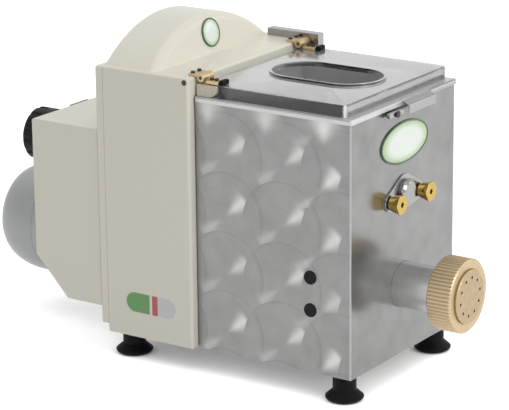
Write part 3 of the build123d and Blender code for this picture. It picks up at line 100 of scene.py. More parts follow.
class PastaMakerSizes(bpy.types.PropertyGroup):
    """Sizes of the details that the looks add to the solids."""

    edge_round: length_setting(
        "Edge Round", "Rounding of the edges of sheet and moulded pieces", 0.0008)
    disc_pitch: length_setting(
        "Disc Pitch", "Distance along the panels between the brushed discs", 0.0795, 0.01)
    disc_rise: length_setting(
        "Disc Rise", "Height between the rows of brushed discs", 0.0715, 0.01)
    disc_radius: length_setting("Disc Radius", "Radius of the brushed discs", 0.054, 0.01)
    bead_radius: length_setting(
        "Bead Radius", "Radius of the rolled bead along the front rim", 0.0034, 0.0005)
    # The brighter band along edges is partly wear and partly a painted highlight.
    wear_and_highlight_width: length_setting(
        "Wear And Highlight Width", "Width of the brighter band along edges, under the thinnest sheet", 0.0006)
    lens: FloatProperty(
        name="Lens",
        description="Focal length of the camera on a 36 mm sensor",
        default=175.552,
        min=10.0,
    )


class PastaMakerColours(bpy.types.PropertyGroup):
    """Colours of the finishes."""

    steel: colour_setting("Steel", "Stainless panels", (0.265, 0.265, 0.262))
    paint: colour_setting("Paint", "Cream enamel of the column and hood", (0.80, 0.772, 0.664))
    brass: colour_setting("Brass", "Machined brass", (0.55, 0.43, 0.27))
    motor: colour_setting("Motor Paint", "Silver-grey paint of the motor", (0.36, 0.365, 0.37))
    green: colour_setting("Badge Green", "Rims of the bare badges", (0.02, 0.09, 0.035))
    pale: colour_setting("Badge Field", "Border of the bare badges' fields", (0.44, 0.62, 0.30))


# ------------------------------ node conveniences


def feed(tree, socket, value):
    """Links an input socket to an output, or sets its own value."""
    if isinstance(value, bpy.types.NodeSocket):
        tree.links.new(value, socket)
    else:
        socket.default_value = value


def add(tree, kind, place, **values):
    """A node of that kind, with its properties by prefix p_ and its inputs by name or as i0, i1."""
    made = tree.nodes.new(kind)
    made.location = place
    for key, value in values.items():
        if key.startswith("p_"):
            setattr(made, key[2:], value)
    for key, value in values.items():
        if not key.startswith("p_"):
            numbered = key[0] == "i" and key[1:].isdigit()
            feed(tree, made.inputs[int(key[1:]) if numbered else key.replace("_", " ")], value)
    return made


def calc(tree, place, operation, first, second=None, third=None, clamp=False):
    """The output of a Math node."""
    made = tree.nodes.new("ShaderNodeMath")
    made.location = place
    made.operation = operation
    made.use_clamp = clamp
    for socket, value in zip(made.inputs, (first, second, third)):
        if value is not None:
            feed(tree, socket, value)
    return made.outputs[0]


def span(tree, place, value, low, high, interpolation="LINEAR"):
    """0 where the value is low, 1 where it is high."""
    return add(tree, "ShaderNodeMapRange", place, p_interpolation_type=interpolation, Value=value,
               From_Min=low, From_Max=high).outputs[0]


def length_of(tree, place, across, upward):
    """Length of a flat vector with those two parts."""
    x, y = place
    squares = [calc(tree, (x - 100, y), "MULTIPLY", part, part) for part in (across, upward)]
    return calc(tree, place, "SQRT", calc(tree, (x - 50, y), "ADD", *squares))


def mix_colour(tree, place, factor, dark, light):
    """Dark where the factor is 0, light where it is 1."""
    mixed = add(tree, "ShaderNodeMix", place, p_data_type="RGBA", i0=factor)
    feed(tree, mixed.inputs[6], dark)
    feed(tree, mixed.inputs[7], light)
    return mixed.outputs[2]


def seen_rays(tree):
    """1 on rays from the camera, from a reflection or through something clear."""
    path = add(tree, "ShaderNodeLightPath", (-700, -300))
    direct = calc(tree, (-500, -300), "MAXIMUM", path.outputs["Is Camera Ray"],
                  path.outputs["Is Glossy Ray"])
    return calc(tree, (-350, -300), "MAXIMUM", direct, path.outputs["Is Transmission Ray"])


def object_normal(tree, place):
    """Parts of the normal along the object's own axes."""
    coordinates = add(tree, "ShaderNodeTexCoord", place)
    return add(tree, "ShaderNodeSeparateXYZ", (place[0] + 150, place[1]),
               Vector=coordinates.outputs["Normal"]).outputs


# ------------------------------ node groups


def effect_group(name, inputs, outputs, fill):
    """A shader node group with those sockets, built once; fill makes its inside."""
    found = bpy.data.node_groups.get(name)
    if found:
        return found
    tree = bpy.data.node_groups.new(name, "ShaderNodeTree")
    for label, kind, default in inputs:
        socket = tree.interface.new_socket(name=label, in_out="INPUT", socket_type=kind)
        if default is not None:
            socket.default_value = default
    for label, kind in outputs:
        tree.interface.new_socket(name=label, in_out="OUTPUT", socket_type=kind)
    source = tree.nodes.new("NodeGroupInput")
    source.location = (-900, 0)
    target = tree.nodes.new("NodeGroupOutput")
    target.location = (900, 0)
    for label, socket in fill(tree, source.outputs).items():
        tree.links.new(socket, target.inputs[label])
    return tree


def place_group(tree, group, place, **values):
    """The outputs of a group node with those inputs."""
    made = tree.nodes.new("ShaderNodeGroup")
    made.node_tree = group
    made.location = place
    for key, value in values.items():
        feed(tree, made.inputs[key], value)
    return made.outputs


def fill_soft_edge(tree, given):
    """Rounded normal at the edges, and a mask of the band beside them."""
    gain = 6.0
    bevel = add(tree, "ShaderNodeBevel", (-600, 100), p_samples=6, Radius=given["Radius"])
    geometry = add(tree, "ShaderNodeNewGeometry", (-600, -150))
    dot = add(tree, "ShaderNodeVectorMath", (-350, 0), p_operation="DOT_PRODUCT",
              i0=bevel.outputs[0], i1=geometry.outputs["Normal"])
    bent = calc(tree, (-150, 0), "SUBTRACT", 1.0, dot.outputs["Value"])
    edge = calc(tree, (50, 0), "MULTIPLY", bent, gain, clamp=True)
    return {"Normal": bevel.outputs[0], "Edge": edge}


def fill_grain(tree, given):
    """Two sizes of noise: a value around one half for tone, and a height for bumps."""
    finer_by = 6.3
    coarse = add(tree, "ShaderNodeTexNoise", (-600, 150), Vector=given["Vector"],
                 Scale=given["Scale"], Detail=3.0, Roughness=0.6)
    finer = calc(tree, (-750, -100), "MULTIPLY", given["Scale"], finer_by)
    fine = add(tree, "ShaderNodeTexNoise", (-600, -150), Vector=given["Vector"], Scale=finer,
               Detail=2.0, Roughness=0.5)
    both = calc(tree, (-350, 0), "ADD", coarse.outputs["Fac"], fine.outputs["Fac"])
    centred = calc(tree, (-200, 0), "SUBTRACT", both, 1.0)
    scaled = calc(tree, (-50, 0), "MULTIPLY", centred, given["Amount"])
    value = calc(tree, (100, 0), "ADD", scaled, 0.5, clamp=True)
    return {"Value": value, "Height": fine.outputs["Fac"]}


def disc_row(tree, across, pitch, radius, offset, y):
    """Of the discs of one row, the one laid last over a point: its number, local x and a mask."""
    reach = calc(tree, (-300, y), "SUBTRACT", calc(tree, (-340, y), "POWER", radius, 2.0), calc(
        tree, (-340, y - 60), "POWER", offset, 2.0))
    half = calc(tree, (-260, y), "SQRT", calc(tree, (-280, y), "MAXIMUM", reach, 0.0))
    number = calc(tree, (-180, y), "FLOOR", calc(tree, (-220, y), "DIVIDE", calc(
        tree, (-240, y), "ADD", across, half), pitch))
    local = calc(tree, (-100, y), "SUBTRACT", across, calc(
        tree, (-140, y), "MULTIPLY", number, pitch))
    return number, local, calc(tree, (-60, y), "LESS_THAN", local, half)


def fill_swirl(tree, given):
    """Scale pattern of brushed discs, each laid over its left and upper neighbours.

    The bright lobe of each disc is a painted highlight where the brushing catches the light; Arc is
    the faint right and upper edge of the disc underneath, Streak the fine rings of the brush, and
    Column the number of the disc along its row.
    """
    lean_spread = 0.16
    rear_sharpness, rear_share = 34.0, 0.42
    strength_spread, least_strength = 0.60, 0.55
    rings_per_radius, ring_shift, ring_bend = 22.0, 90.0, 0.9
    # In radii: where the lobe grows and where it fades, and the faint edges of a disc.
    growth, fading, right_band, upper_band = (0.02, 0.42), (0.78, 0.62), (0.88, 0.99), (0.93, 1.0)
    split = add(tree, "ShaderNodeSeparateXYZ", (-800, 0), Vector=given["Vector"])
    pitch, rise, radius = given["Pitch"], given["Rise"], given["Radius"]
    across = calc(tree, (-650, 100), "SUBTRACT", split.outputs["X"], split.outputs["Y"])
    upward = split.outputs["Z"]
    share = calc(tree, (-600, -200), "DIVIDE", calc(
        tree, (-640, -200), "SUBTRACT", upward, radius), rise)
    low_row = calc(tree, (-560, -200), "CEIL", share)
    low_offset = calc(tree, (-500, -200), "SUBTRACT", upward, calc(
        tree, (-530, -260), "MULTIPLY", low_row, rise))
    high_offset = calc(tree, (-460, -200), "SUBTRACT", low_offset, rise)
    low_disc, low_local, on_low = disc_row(tree, across, pitch, radius, low_offset, -100)
    high_disc, high_local, _ = disc_row(tree, across, pitch, radius, high_offset, -400)

    def chosen(high, low):
        return add(tree, "ShaderNodeMix", (50, 0), p_data_type="FLOAT", i0=on_low, i2=high,
                   i3=low).outputs[0]

    x = chosen(high_local, low_local)
    y = chosen(high_offset, low_offset)
    column = chosen(high_disc, low_disc)
    row = chosen(calc(tree, (0, -300), "ADD", low_row, 1.0), low_row)
    seed = add(tree, "ShaderNodeCombineXYZ", (150, -300), X=column, Y=row)
    chance = add(tree, "ShaderNodeTexWhiteNoise", (250, -300), p_noise_dimensions="2D",
                 Vector=seed.outputs[0]).outputs["Value"]
    part = calc(tree, (250, 0), "DIVIDE", length_of(tree, (200, 0), x, y), radius)

    # Painted highlight: a bright lobe facing the lean and a weaker one opposite, fading near the
    # centre and the rim of the disc.
    angle = calc(tree, (250, 100), "ARCTAN2", y, x)
    lean = calc(tree, (300, -300), "MULTIPLY_ADD", chance, lean_spread, given["Lean"])
    facing = calc(tree, (350, 100), "COSINE", calc(tree, (330, 100), "SUBTRACT", angle, lean))
    ahead = calc(tree, (370, 160), "POWER", calc(
        tree, (360, 160), "MAXIMUM", facing, 0.0), given["Sharpness"])
    opposite = calc(tree, (355, 60), "MULTIPLY", facing, -1.0)
    behind = calc(tree, (370, 60), "POWER", calc(
        tree, (360, 60), "MAXIMUM", opposite, 0.0), rear_sharpness)
    highlight_lobe = calc(tree, (400, 100), "MULTIPLY_ADD", behind, rear_share, ahead)
    for limit in (
        span(tree, (400, 0), part, *growth, "SMOOTHSTEP"),
        span(tree, (400, -150), part, *fading, "SMOOTHSTEP"),
        calc(tree, (500, -300), "MULTIPLY_ADD", chance, strength_spread, least_strength),
    ):
        highlight_lobe = calc(tree, (500, 100), "MULTIPLY", highlight_lobe, limit)

    rings = add(tree, "ShaderNodeCombineXYZ", (450, -450),
                X=calc(tree, (420, -450), "MULTIPLY", part, rings_per_radius),
                Y=calc(tree, (420, -470), "MULTIPLY", chance, ring_shift),
                Z=calc(tree, (420, -500), "MULTIPLY", facing, ring_bend))
    streak = add(tree, "ShaderNodeTexNoise", (550, -450), Vector=rings.outputs[0], Scale=1.0,
                 Detail=5.0, Roughness=0.7)

    from_left = calc(tree, (0, -700), "ADD", low_local, pitch)
    below = calc(tree, (80, -700), "DIVIDE", length_of(
        tree, (50, -700), from_left, low_offset), radius)
    inside = calc(tree, (600, -650), "LESS_THAN", below, 1.0)
    right_edge = calc(tree, (680, -600), "MULTIPLY", span(
        tree, (550, -600), below, *right_band), inside)
    height = calc(tree, (600, -800), "DIVIDE", y, radius)
    upper_edge = calc(tree, (650, -800), "MULTIPLY", span(
        tree, (550, -800), part, *upper_band), calc(tree, (620, -800), "MAXIMUM", height, 0.0))
    arc = calc(tree, (700, -600), "MAXIMUM", right_edge, upper_edge)
    return {"Highlight Lobe": highlight_lobe, "Streak": streak.outputs["Fac"], "Arc": arc, "Column": column}


def swirl():
    return effect_group(
        "Swirl Brushing",
        [("Vector", VECTOR, None), ("Pitch", FLOAT, 0.08), ("Rise", FLOAT, 0.072),
         ("Radius", FLOAT, 0.054), ("Lean", FLOAT, 0.5), ("Sharpness", FLOAT, 26.0)],
        [("Highlight Lobe", FLOAT), ("Streak", FLOAT), ("Arc", FLOAT), ("Column", FLOAT)],
        fill_swirl,
    )


# ------------------------------ finishes


def start_material(name):
    """A new material, its tree, its shader and the object's coordinates."""
    made = bpy.data.materials.new(f"{name}_finish")
    made.use_nodes = True
    tree = made.node_tree
    coordinates = add(tree, "ShaderNodeTexCoord", (-1200, 0))
    return made, tree, tree.nodes["Principled BSDF"], coordinates.outputs["Object"]


def tone(colour, factor):
    """That colour made lighter or darker by a factor."""
    return (*[min(1.0, c * factor) for c in colour], 1.0)


def grained(tree, place, scale, amount, stretch=None):
    """Grain of that scale, pressed together along the axes by the factors of stretch."""
    if stretch:
        mapping = add(tree, "ShaderNodeMapping", (-1000, -100), Vector=place, Scale=stretch)
        place = mapping.outputs[0]
    group = effect_group(
        "Grain",
        [("Vector", VECTOR, None), ("Scale", FLOAT, 100.0), ("Amount", FLOAT, 0.5)],
        [("Value", FLOAT), ("Height", FLOAT)],
        fill_grain,
    )
    return place_group(tree, group, (-800, -100), Vector=place, Scale=scale, Amount=amount)


def rounded_edges(tree, radius=None):
    """Rounded normal and edge mask, over that radius or the width of the edge band of wear and
    painted highlight.
    """
    group = effect_group("Soft Edge", [("Radius", FLOAT, 0.001)],
                         [("Normal", VECTOR), ("Edge", FLOAT)], fill_soft_edge)
    return place_group(tree, group, (-800, -350),
                       Radius=radius or bpy.context.scene.pasta_maker_sizes.wear_and_highlight_width)


def set_values(shader, **values):
    """Plain values on the shader's own sockets."""
    for key, value in values.items():
        shader.inputs[key.replace("_", " ")].default_value = value


def roughen(tree, shader, value, spread, least):
    """Roughness that grows from least by spread along with the value."""
    rough = calc(tree, (-300, -100), "MULTIPLY_ADD", value, spread, least)
    tree.links.new(rough, shader.inputs["Roughness"])


def emboss(tree, shader, height, normal, strength, distance=0.0002):
    """Bumps over the rounded normal."""
    relief = add(tree, "ShaderNodeBump", (-300, -300), Strength=strength, Distance=distance,
                 Height=height, Normal=normal)
    tree.links.new(relief.outputs[0], shader.inputs["Normal"])


def worn_and_highlit_finish(name, colour, roughness, metallic=0.0, scale=120.0, stretch=(1, 1, 1),
                variation=0.25, edge=1.25, bump=0.12, coat=0.0, specular=0.5):
    """Grainy finish whose tone varies a little and changes along its edges: a brighter band there,
    partly wear and partly a painted highlight.
    """
    spread = 0.12
    made, tree, shader, place = start_material(name)
    speckle = grained(tree, place, scale, 1.0, stretch)
    rounded = rounded_edges(tree)
    base = mix_colour(tree, (-500, 100), speckle["Value"], tone(colour, 1 - variation),
                      tone(colour, 1 + variation))
    # Painted highlight, partly wear: the band along the edges is brightened by the factor edge.
    edged = mix_colour(tree, (-300, 100), rounded["Edge"], base, tone(colour, edge))
    tree.links.new(edged, shader.inputs["Base Color"])
    roughen(tree, shader, speckle["Value"], spread, roughness - spread / 2)
    emboss(tree, shader, speckle["Height"], rounded["Normal"], bump)
    set_values(shader, Metallic=metallic, Specular_IOR_Level=specular, Coat_Weight=coat,
               Coat_Roughness=0.12)
    return made


def quilted_steel():
    """Stainless sheet brushed in overlapping discs, which show most on the two sides, with a
    painted highlight lobe in each disc and a brighter band along the edges, partly wear and partly
    a painted highlight.
    """
    sizes, steel = bpy.context.scene.pasta_maker_sizes, bpy.context.scene.pasta_maker_colours.steel
    made, tree, shader, place = start_material("quilted_steel")
    split = add(tree, "ShaderNodeSeparateXYZ", (-1300, -200), Vector=place)
    outward = calc(tree, (-1250, -300), "ABSOLUTE", split.outputs["X"])
    mirrored = add(tree, "ShaderNodeCombineXYZ", (-1150, -200), Y=split.outputs["Y"],
                   Z=split.outputs["Z"], X=calc(tree, (-1200, -300), "MULTIPLY", outward, -1.0))
    sideways = calc(tree, (-700, 300), "ABSOLUTE", object_normal(tree, (-1000, 300))["X"])

    def layer(along, upward, lean, sharpness):
        """Discs whose column 0 lies that far along the body from its front edge, on those rows."""
        mapping = add(tree, "ShaderNodeMapping", (-1000, 0), Vector=mirrored.outputs[0],
                      Location=(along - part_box("left_side_panel")[0].x, -FRONT, -upward))
        return place_group(tree, swirl(), (-800, 100), Vector=mapping.outputs[0],
                           Pitch=sizes.disc_pitch, Rise=sizes.disc_rise, Radius=sizes.disc_radius,
                           Lean=lean, Sharpness=sharpness)

    def by_side(spread, least):
        """A share that is least on the front and larger by spread on the sides."""
        return calc(tree, (-600, 300), "MULTIPLY_ADD", sideways, spread, least)

    top_row = 0.297
    main = layer(along=0.0126, upward=0.2685, lean=0.58, sharpness=26.0)
    front = layer(along=0.0430, upward=0.2455, lean=0.62, sharpness=18.0)
    top = layer(along=0.036, upward=top_row, lean=1.42, sharpness=8.0)
    highlight_lobes = [calc(tree, (-600, 400), "MULTIPLY", disc["Highlight Lobe"], mask) for disc, mask in (
        (main, calc(tree, (-650, 500), "LESS_THAN", main["Column"], -0.5)),
        (front, calc(tree, (-650, 400), "COMPARE", front["Column"], 0.0, 0.5)),
        (top, calc(tree, (-650, 300), "GREATER_THAN", split.outputs["Z"], top_row)),
    )]
    highlight_lobe = calc(tree, (-500, 400), "MAXIMUM", calc(
        tree, (-550, 400), "MAXIMUM", *highlight_lobes[:2]), highlight_lobes[2])
    brushed = calc(tree, (-600, 200), "MULTIPLY", main["Streak"], by_side(0.85, 0.15))
    cloud = grained(tree, place, 7.0, 0.9)
    rounded = rounded_edges(tree)
    made_tone = mix_colour(tree, (-500, 0), cloud["Value"], tone(steel, 0.74), tone(steel, 1.16))
    # Tone: random cloud, brighter brush streaks and darker disc arcs; then the painted highlight
    # lobe of each disc and the edge band, partly wear and partly a painted highlight.
    for mask, factor in (
        (calc(tree, (-500, -60), "MULTIPLY", brushed, 0.30), 1.55),
        (calc(tree, (-450, -60), "MULTIPLY", main["Arc"], by_side(0.19, 0.02)), 0.40),
        (calc(tree, (-350, 150), "MULTIPLY", highlight_lobe, by_side(0.75, 0.05)), 2.5),
        (rounded["Edge"], 2.0),
    ):
        made_tone = mix_colour(tree, (-300, 0), mask, made_tone, tone(steel, factor))
    tree.links.new(made_tone, shader.inputs["Base Color"])
    roughen(tree, shader, brushed, 0.14, by_side(0.14, 0.20))
    emboss(tree, shader, brushed, rounded["Normal"], 0.05, 0.0003)
    set_values(shader, Metallic=0.80)
    return made


def satin_tub():
    """Satin sheet with painted shade that grows darker from the rim down into the tub."""
    bright_depth, dark_depth = 0.036, 0.080
    made, tree, shader, place = start_material("satin_tub")
    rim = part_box("mixing_tub")[1].z
    split = add(tree, "ShaderNodeSeparateXYZ", (-1000, 200), Vector=place)
    near_rim = span(tree, (-800, 200), split.outputs["Z"], rim - dark_depth, rim - bright_depth,
                    "SMOOTHSTEP")
    speckle = grained(tree, place, 60.0, 0.8, (1.0, 12.0, 1.0))
    rounded = rounded_edges(tree)
    sheet = mix_colour(tree, (-500, 100), speckle["Value"], (0.52, 0.52, 0.51, 1),
                       (0.68, 0.68, 0.67, 1))
    # Painted shade: the sheet deep in the tub is near black.
    painted_tub_shade = mix_colour(tree, (-500, 300), speckle["Value"], (0.06, 0.06, 0.06, 1),
                      (0.10, 0.10, 0.10, 1))
    shaded = mix_colour(tree, (-300, 200), near_rim, painted_tub_shade, sheet)
    tree.links.new(shaded, shader.inputs["Base Color"])
    roughen(tree, shader, speckle["Value"], 0.12, 0.30)
    tree.links.new(rounded["Normal"], shader.inputs["Normal"])
    set_values(shader, Metallic=0.6)
    return made


def clear_plastic():
    """Thick clear moulding with faint scratches, darker seen through its upright walls: its tint is
    painted shade by facing, near black through the side walls, grey through the front and rear
    walls and pale through level faces.
    """
    made, tree, shader, place = start_material("clear_plastic")
    haze = grained(tree, place, 60.0, 0.9, (1.0, 9.0, 1.0))
    rounded = rounded_edges(tree, 0.0009)
    normal = object_normal(tree, (-1000, 300))
    level = calc(tree, (-700, 300), "POWER", calc(
        tree, (-720, 300), "ABSOLUTE", normal["Z"]), 2.0)
    forward = calc(tree, (-700, 450), "ABSOLUTE", normal["Y"])
    # Painted shade: the tint is near black on walls facing sideways and grey on walls facing front
    # or back.
    painted_wall_shade = mix_colour(tree, (-550, 350), forward, (0.012, 0.012, 0.012, 1), (0.50, 0.51, 0.51, 1))
    tint = mix_colour(tree, (-400, 100), level, painted_wall_shade, (0.86, 0.87, 0.87, 1))
    tree.links.new(tint, shader.inputs["Base Color"])
    roughen(tree, shader, haze["Value"], 0.10, 0.04)
    emboss(tree, shader, haze["Height"], rounded["Normal"], 0.05)
    tree.links.new(calc(tree, (-300, 300), "MULTIPLY", level, 0.8), shader.inputs["Coat Weight"])
    set_values(shader, Coat_Roughness=0.10, IOR=1.38, Transmission_Weight=0.92)
    path = add(tree, "ShaderNodeLightPath", (0, 300))
    passing = add(tree, "ShaderNodeBsdfTransparent", (0, -300), Color=(0.82, 0.83, 0.83, 1))
    lit = add(tree, "ShaderNodeMixShader", (300, 0), i0=path.outputs["Is Shadow Ray"],
              i1=shader.outputs[0], i2=passing.outputs[0])
    tree.links.new(lit.outputs[0], tree.nodes["Material Output"].inputs["Surface"])
    return made


def badge_field():
    """Enamel that runs from white in the middle to pale green at its border."""
    pale = bpy.context.scene.pasta_maker_colours.pale
    made, tree, shader, place = start_material("badge_field")
    across = add(tree, "ShaderNodeTexCoord", (-1200, 300))
    split = add(tree, "ShaderNodeSeparateXYZ", (-1000, 300), Vector=across.outputs["Generated"])
    squares = []
    for axis in ("X", "Z"):
        centred = calc(tree, (-850, 300), "MULTIPLY_ADD", split.outputs[axis], 2.0, -1.0)
        squares.append(calc(tree, (-700, 300), "MULTIPLY", centred, centred))
    outward = calc(tree, (-550, 300), "ADD", *squares)
    border = span(tree, (-450, 300), outward, 0.35, 0.95, "SMOOTHSTEP")
    speckle = grained(tree, place, 60.0, 0.8)
    middle = mix_colour(tree, (-400, 0), speckle["Value"], (0.80, 0.86, 0.80, 1),
                        (0.88, 0.92, 0.87, 1))
    enamel = mix_colour(tree, (-200, 100), border, middle, (*pale, 1))
    tree.links.new(enamel, shader.inputs["Base Color"])
    roughen(tree, shader, speckle["Value"], 0.10, 0.18)
    set_values(shader, Coat_Weight=0.6)
    return made


def knurled_brass():
    """Turned brass with painted shade in its grooves and a brighter band along its edges, partly
    wear and partly a painted highlight.
    """
    groove_depth, ridge_depth = 0.0013, 0.0002
    brass = bpy.context.scene.pasta_maker_colours.brass
    made, tree, shader, place = start_material("knurled_brass")
    low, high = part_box("ring_nut")
    middle, radius = (low.z + high.z) / 2, (high.x - low.x) / 2
    split = add(tree, "ShaderNodeSeparateXYZ", (-1000, 200), Vector=place)
    upward = calc(tree, (-900, 150), "SUBTRACT", split.outputs["Z"], middle)
    reach = length_of(tree, (-700, 200), split.outputs["X"], upward)
    ridge = span(tree, (-600, 200), reach, radius - groove_depth, radius - ridge_depth)
    flat = calc(tree, (-600, 450), "GREATER_THAN", calc(
        tree, (-700, 450), "ABSOLUTE", object_normal(tree, (-1000, 450))["Y"]), 0.5)
    unshaded = calc(tree, (-450, 300), "MAXIMUM", ridge, flat)
    speckle = grained(tree, place, 120.0, 1.0, (1.0, 22.0, 1.0))
    rounded = rounded_edges(tree, 0.0004)
    metal = mix_colour(tree, (-500, 0), speckle["Value"], tone(brass, 0.80), tone(brass, 1.14))
    # Painted shade: the grooves between the ridges are darkened; the ridges and flat faces stay
    # bright.
    groove_shade = mix_colour(tree, (-350, 100), unshaded, tone(brass, 0.42), metal)
    # Painted highlight, partly wear: the edges are brightened.
    edged = mix_colour(tree, (-200, 100), rounded["Edge"], groove_shade, tone(brass, 1.5))
    tree.links.new(edged, shader.inputs["Base Color"])
    roughen(tree, shader, speckle["Value"], 0.14, 0.36)
    emboss(tree, shader, speckle["Height"], rounded["Normal"], 0.08)
    set_values(shader, Metallic=1.0)
    return made


def barrel_steel():
    """Turned steel that darkens a little along faint rings."""
    made, tree, shader, place = start_material("barrel_steel")
    turned = grained(tree, place, 12.0, 1.0, (1.0, 40.0, 1.0))
    metal = mix_colour(tree, (-500, 0), turned["Value"], (0.55, 0.55, 0.55, 1),
                       (0.68, 0.68, 0.67, 1))
    tree.links.new(metal, shader.inputs["Base Color"])
    set_values(shader, Metallic=1.0, Roughness=0.36)
    return made


def banded_label():
    """Bare film in bands of green, white and red, without words."""
    made, tree, shader, place = start_material("banded_label")
    low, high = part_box("side_label")
    split = add(tree, "ShaderNodeSeparateXYZ", (-1000, 0), Vector=place)
    share = calc(tree, (-850, 0), "MULTIPLY_ADD", split.outputs["Y"], 1 / (high.y - low.y),
                 -low.y / (high.y - low.y))
    bands = add(tree, "ShaderNodeValToRGB", (-600, 0), i0=share)
    ramp = bands.color_ramp
    ramp.interpolation = "CONSTANT"
    ramp.elements[0].color = (0.66, 0.68, 0.67, 1)
    ramp.elements[1].position, ramp.elements[1].color = 0.37, (0.52, 0.06, 0.05, 1)
    ramp.elements.new(0.48).color = (0.80, 0.80, 0.77, 1)
    ramp.elements.new(0.53).color = (0.10, 0.33, 0.07, 1)
    speckle = grained(tree, place, 180.0, 0.8)
    faded = mix_colour(tree, (-300, 0), 0.08, bands.outputs[0], (0.6, 0.6, 0.58, 1))
    tree.links.new(faded, shader.inputs["Base Color"])
    roughen(tree, shader, speckle["Value"], 0.2, 0.25)
    return made


def worn_and_highlit_settings():
    """What each plain finish with grain, wear and a painted edge highlight is made of, by name."""
    colours = bpy.context.scene.pasta_maker_colours
    brass = tuple(colours.brass)
    turned = dict(roughness=0.42, metallic=1.0, stretch=(1, 22, 1), variation=0.22, edge=1.5,
                  bump=0.10)
    return {
        "silver_paint": dict(colour=colours.motor, roughness=0.38, metallic=0.35, scale=400.0,
                             variation=0.10, edge=1.15, bump=0.25, coat=0.15),
        # Its edge factor brightens the rounded lips of the column and hood: a painted highlight.
        "cream_paint": dict(colour=colours.paint, roughness=0.38, scale=260.0, variation=0.03,
                            edge=1.22, bump=0.06, coat=0.25),
        "plain_steel": dict(colour=(0.58, 0.58, 0.57), roughness=0.30, metallic=0.95, scale=90.0,
                            stretch=(1, 14, 1), variation=0.12, edge=1.3, bump=0.05),
        "machine_steel": dict(colour=(0.42, 0.42, 0.42), roughness=0.32, metallic=1.0, scale=160.0,
                              stretch=(1, 8, 1), variation=0.15, edge=1.3, bump=0.05),
        "polished_steel": dict(colour=(0.34, 0.34, 0.34), roughness=0.24, metallic=1.0, scale=80.0,
                               stretch=(1, 10, 1), variation=0.10, edge=1.9, bump=0.03),
        "dark_steel": dict(colour=(0.06, 0.05, 0.045), roughness=0.40, metallic=0.8, scale=300.0,
                           edge=2.2),
        # White: a painted highlight on the lid's edges and corners, and the pale rim of the side
        # label.
        "bright_edge": dict(colour=(0.90, 0.90, 0.89), roughness=0.25, scale=90.0, variation=0.05,
                            edge=1.05, bump=0.02, coat=0.5),
        "zinc_screws": dict(colour=(0.60, 0.60, 0.60), roughness=0.25, metallic=1.0, scale=300.0,
                            variation=0.15),
        "chrome": dict(colour=(0.32, 0.32, 0.33), roughness=0.12, metallic=1.0, scale=200.0,
                       variation=0.04, edge=1.1, bump=0.02),
        "cast_aluminium": dict(colour=(0.50, 0.50, 0.51), roughness=0.50, metallic=0.9,
                               scale=500.0, variation=0.15, bump=0.35),
        "bronze": dict(colour=(0.55, 0.36, 0.16), roughness=0.35, metallic=1.0, scale=200.0,
                       stretch=(8, 1, 8)),
        "brass_turned": dict(colour=brass, **turned),
        "brass_face": dict(colour=tuple(share * 0.78 for share in brass), **turned),
        "brass_polished": dict(colour=(0.50, 0.34, 0.09), roughness=0.20, metallic=1.0,
                               scale=150.0, variation=0.20, edge=1.7, bump=0.03),
        "black_rubber": dict(colour=(0.004, 0.004, 0.005), roughness=0.55, scale=350.0,
                             variation=0.3, edge=1.8, bump=0.25, specular=0.12),
        "black_plastic": dict(colour=(0.009, 0.009, 0.010), roughness=0.42, scale=420.0,
                              variation=0.25, edge=2.0, bump=0.2, specular=0.14),
        "pale_cheek": dict(colour=(0.62, 0.55, 0.45), roughness=0.3, scale=150.0, variation=0.1,
                           bump=0.05, coat=0.3),
        "badge_rim": dict(colour=colours.green, roughness=0.25, scale=200.0, edge=1.6, bump=0.03,
                          coat=0.5),
    }


def finish(name):
    """The named finish, built the first time it is asked for."""
    found = bpy.data.materials.get(f"{name}_finish")
    if found:
        return found
    special = (quilted_steel, satin_tub, clear_plastic, badge_field, knurled_brass, barrel_steel,
               banded_label)
    for maker in special:
        if maker.__name__ == name:
            return maker()
    return worn_and_highlit_finish(name, **worn_and_highlit_settings()[name])


# ------------------------------ mesh helpers


def show(name, mesh, body, material, stands_for=()):
    """A new piece with that mesh, riding on its body."""
    mesh.materials.clear()
    mesh.materials.append(finish(material))
    piece = bpy.data.objects.new(name, mesh)
    bpy.context.scene.collection.objects.link(piece)
    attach(piece, body)
    if stands_for:
        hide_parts(*stands_for)
    return piece


def finished_mesh(work, name):
    """The mesh of a bmesh, shaded smooth except over sharp edges."""
    mesh = bpy.data.meshes.new(name)
    work.to_mesh(mesh)
    work.free()
    mesh.polygons.foreach_set("use_smooth", [True] * len(mesh.polygons))
    mesh.set_sharp_from_angle(angle=math.radians(42))
    return mesh


def softened(node, material, width=None, segments=2, keep=None, edge_material=None):
    """A copy of a solid with its sharp edges rounded, standing for that solid."""
    flat_angle, sharp_angle = math.radians(0.5), math.radians(32)
    if width is None:
        width = bpy.context.scene.pasta_maker_sizes.edge_round
    work = bmesh.new()
    work.from_mesh(frame["nodes"][node].data)
    bmesh.ops.remove_doubles(work, verts=work.verts, dist=1e-6)
    bmesh.ops.dissolve_limit(work, angle_limit=flat_angle, verts=work.verts, edges=work.edges)
    sharp = [
        edge for edge in work.edges
        if len(edge.link_faces) == 2
        and edge.calc_face_angle(0.0) > sharp_angle
        and (keep is None or keep(edge))
    ]
    rounded = bmesh.ops.bevel(work, geom=sharp, offset=width, offset_type="OFFSET",
                              segments=segments, profile=0.5, affect="EDGES", clamp_overlap=True)
    work.faces.index_update()
    edge_faces = [face.index for face in rounded["faces"]]
    name = f"{node}_dressed"
    mesh = finished_mesh(work, name)
    piece = show(name, mesh, frame["nodes"][node]["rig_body"], material, (node,))
    if edge_material:
        mesh.materials.append(finish(edge_material))
        for index in edge_faces:
            mesh.polygons[index].material_index = 1
    weighted = piece.modifiers.new("Weighted Normals", "WEIGHTED_NORMAL")
    weighted.keep_sharp = True
    return piece


